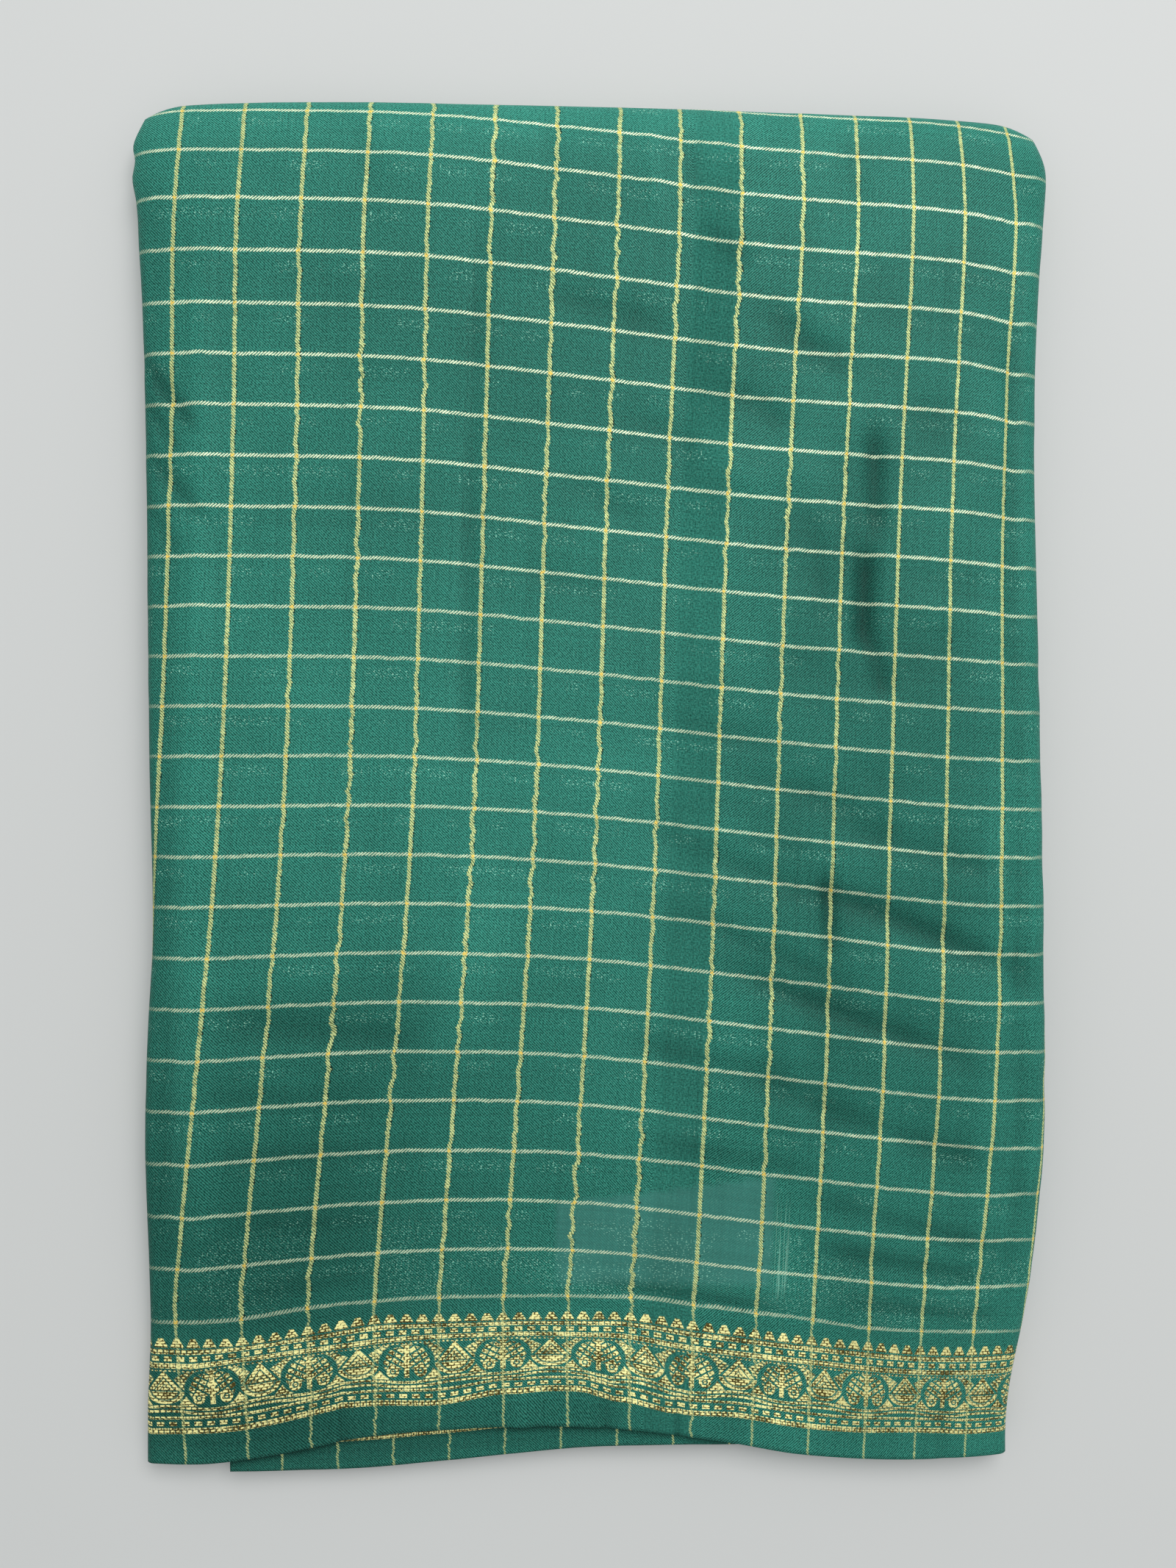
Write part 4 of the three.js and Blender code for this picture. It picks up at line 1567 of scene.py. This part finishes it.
@dataclass(frozen=True)
class SilkFinish:
    """Checked silk: the ground's colours and those of its metal thread."""

    name: str = "checked_silk"
    shade: Colour = (0.0, 0.040, 0.029)
    light: Colour = (0.051, 0.300, 0.228)
    weft_gold: Colour = (0.58, 0.66, 0.30)
    weft_shade: Colour = (0.11, 0.16, 0.06)
    warp_silver: Colour = (0.74, 0.82, 0.57)
    warp_shade: Colour = (0.11, 0.25, 0.17)
    crossing: Colour = (0.80, 0.54, 0.11)
    border_gold: Colour = (1.0, 0.93, 0.40)
    border_shade: Colour = (0.075, 0.055, 0.012)
    gap: Colour = (0.004, 0.02, 0.012)
    float_silk: Colour = (0.30, 0.62, 0.48)
    paper: Colour = (0.050, 0.200, 0.168)
    specular: float = 0.08
    relief: Relief = Relief(0.5, 0.22)

    def make(self, groups: WeaveGroups) -> bpy.types.Material:
        """Draw the material.

        Args:
            groups: the shared effects.

        Returns:
            The material, which reads the piece's weave map.
        """
        d = MaterialDrawing(self.name)
        weft, warp, _ = d.parts(d.node("ShaderNodeUVMap", uv_map="weave").outputs[0])
        # tone is the painted light and shade, slip the paper slip, turned the turn over a side edge
        tone, slip, turned = d.parts(d.node("ShaderNodeAttribute", attribute_name="painted_light_slip_turn").outputs["Vector"])
        across = weft * WEFT_PITCH
        along = warp.most(0.0) * WARP_PITCH + warp.least(0.0) * BORDER
        twill = d.group(groups.twill, across=across, along=along)
        checks = d.group(groups.checks, across=across, along=along)
        border = d.group(groups.border, weft=weft, edge=along + BORDER)
        thread = d.group(groups.thread, across=across, along=along)
        handling = d.group(groups.handling, across=across, along=along, warp=warp)

        # the silk ground, darkened and lightened by the painted light and shade; where it is darker, the
        # twill also leans to its deep shade colour
        ground = d.mix(twill["tone"].step(-0.25, 1.25) * (tone * 0.8 + 0.2), self.shade, self.light)
        ground = d.mix(slip, ground, self.paper)
        ground = d.mix(handling["float"], ground, self.float_silk)
        ground = d.mix(checks["gap"] * 0.95, ground, self.gap)
        ground = d.scale(ground, handling["tone"] * tone)

        # the metal thread: the border's, then the warp lines', the weft lines' and their crossings
        # painted sheen: the border's gold glints less over its right part
        dull = weft.step(10.4, 11.6) * -0.28 + 1.0
        gold = d.mix(thread["tone"].step(0.1, 0.85) * dull, self.border_shade, self.border_gold)
        weft_zari = d.mix(checks["rope"].step(-0.1, 1.0), self.weft_shade, self.weft_gold)
        warp_zari = d.mix(checks["chain"].step(-0.1, 1.0), self.warp_shade, self.warp_silver)
        over_border = border["zari"] * -0.65 + 1.0
        metal = d.mix(checks["warp line"] * 4.0, gold, warp_zari)
        metal = d.mix((checks["weft line"] * 4.0).least(1.0) * over_border, metal, weft_zari)
        metal = d.mix(checks["crossing"], metal, self.crossing)
        # the metal thread takes part of the painted light and shade too
        metal = d.scale(metal, handling["tone"] * (tone * 0.6 + 0.55))

        # the warp lines are fainter at the sides, above the border and over the nearer half: painted shade at
        # the sides, where the cloth turns over its edges, and painted sheen that leaves the nearer half
        # dimmer
        at_side = turned * -0.62 + 1.0
        near_half = warp.step(12.5, 17.5) * 0.27 + 0.73
        near_border = warp.step(-0.4, 0.9) * 0.35 + 0.65
        warp_mask = checks["warp line"] * (at_side * near_half * near_border)
        colour = d.mix(border["zari"].most(warp_mask).most(checks["weft line"]), ground, metal)
        zari = border["zari"].most(checks["warp line"]).most(checks["weft line"])
        height = twill["height"] * 0.3 + zari * (thread["height"] * 0.4 + 0.5)
        values = {"Roughness": zari * -0.08 + 0.48, "Metallic": zari * 0.15}
        return d.close(colour, self.specular, values, self.relief, height)


@dataclass(frozen=True)
class InsideFinish:
    """The same silk where only folds and cut edges show."""

    name: str = "folded_silk"
    shade: Colour = (0.004, 0.055, 0.041)
    light: Colour = (0.038, 0.220, 0.168)
    specular: float = 0.1
    relief: Relief = Relief(0.4, 0.2)

    def make(self, groups: WeaveGroups) -> bpy.types.Material:
        """Draw the material, on the piece's own place.

        Args:
            groups: the shared effects.

        Returns:
            The material.
        """
        d = MaterialDrawing(self.name)
        x, y, z = (part * (1 / MM) for part in d.parts(d.node("ShaderNodeTexCoord").outputs["Object"]))
        across, along = x + z * 0.4, y + z
        twill = d.group(groups.twill, across=across, along=along)
        handling = d.group(groups.handling, across=across, along=along, warp=along * 0.05)
        ground = d.mix(twill["tone"].step(-0.1, 1.1), self.shade, self.light)
        colour = d.scale(ground, handling["tone"])
        values = {"Roughness": handling["tone"] * 0.1 + 0.46}
        return d.close(colour, self.specular, values, self.relief, twill["height"])


@dataclass(frozen=True)
class OverheadCamera:
    """A camera that looks straight down on the folded cloth."""

    place: tuple[float, float, float] = (-0.00045, 0.0018, 0.587)
    focal: float = 1851.2       # in rows of the picture
    picture_height: float = 2133.0
    sensor_height: float = 24.0

    def make(self) -> None:
        """Place the camera and make it the scene's own."""
        data = bpy.data.cameras.new("overhead")
        data.sensor_fit = "VERTICAL"
        data.sensor_height = self.sensor_height
        data.lens = self.sensor_height * self.focal / self.picture_height
        data.clip_start = 0.01
        camera = bpy.data.objects.new("overhead", data)
        camera.location = self.place
        bpy.context.collection.objects.link(camera)
        bpy.context.scene.camera = camera


@dataclass(frozen=True)
class Studio:
    """A pale table top and soft light, a little stronger from the far end."""

    floor_size: float = 4.0
    floor_drop: float = 0.0002
    floor: Colour = (0.625, 0.625, 0.622)
    floor_roughness: float = 0.75
    sky: Colour = (0.95, 1.0, 0.99)
    sky_strength: float = 0.54
    lamp_power: float = 46.0
    lamp_size: tuple[float, float] = (2.0, 1.6)
    lamp_place: tuple[float, float, float] = (0.55, 1.3, 2.2)

    def make(self) -> None:
        """Make the table top, the sky and the lamp, and set the view's colours."""
        self.lay_floor()
        self.light_sky()
        self.hang_lamp()
        view = bpy.context.scene.view_settings
        view.view_transform = "Standard"
        view.look = "None"
        view.exposure = 0.0
        view.gamma = 1.0

    def lay_floor(self) -> None:
        """Lay the table top just under the cloth."""
        bpy.ops.mesh.primitive_plane_add(size=self.floor_size, location=(0, 0, -self.floor_drop))
        floor = bpy.context.object
        floor.name = "table_top"
        material = bpy.data.materials.new("pale_table")
        material.use_nodes = True
        shader = material.node_tree.nodes["Principled BSDF"]
        shader.inputs["Base Color"].default_value = (*self.floor, 1.0)
        shader.inputs["Roughness"].default_value = self.floor_roughness
        floor.data.materials.append(material)

    def light_sky(self) -> None:
        """Give the room its even light."""
        world = bpy.data.worlds.new("soft_room")
        bpy.context.scene.world = world
        world.use_nodes = True
        sky = world.node_tree.nodes["Background"]
        sky.inputs["Color"].default_value = (*self.sky, 1.0)
        sky.inputs["Strength"].default_value = self.sky_strength

    def hang_lamp(self) -> None:
        """Hang a broad lamp beyond the far end, turned to the cloth."""
        data = bpy.data.lights.new("far_window", "AREA")
        data.shape = "RECTANGLE"
        data.size, data.size_y = self.lamp_size
        data.energy = self.lamp_power
        lamp = bpy.data.objects.new("far_window", data)
        lamp.location = self.lamp_place
        lamp.rotation_euler = Vector(self.lamp_place).to_track_quat("Z", "Y").to_euler()
        bpy.context.collection.objects.link(lamp)


def main() -> None:
    """Build the saree, its finishes, the table and the light."""
    logging.basicConfig(level=logging.INFO, format="%(name)s: %(message)s")
    deselect()
    OverheadCamera().make()
    Studio().make()
    groups = WeaveGroups()
    checked, folded = SilkFinish().make(groups), InsideFinish().make(groups)
    form = FoldedForm()
    outer, second, inner = OuterCloth(form), SecondCloth(form), InnerFolds(form)

    cloth = outer.make()
    outer.dress(cloth, checked)
    strip = second.make()
    second.dress(strip, checked)
    folds = inner.make()
    inner.dress(folds, folded)
    for piece in (cloth, strip, folds):
        log.info("%s: %d points, %d faces", piece.name, len(piece.data.vertices), len(piece.data.polygons))


if __name__ == "__main__":
    main()
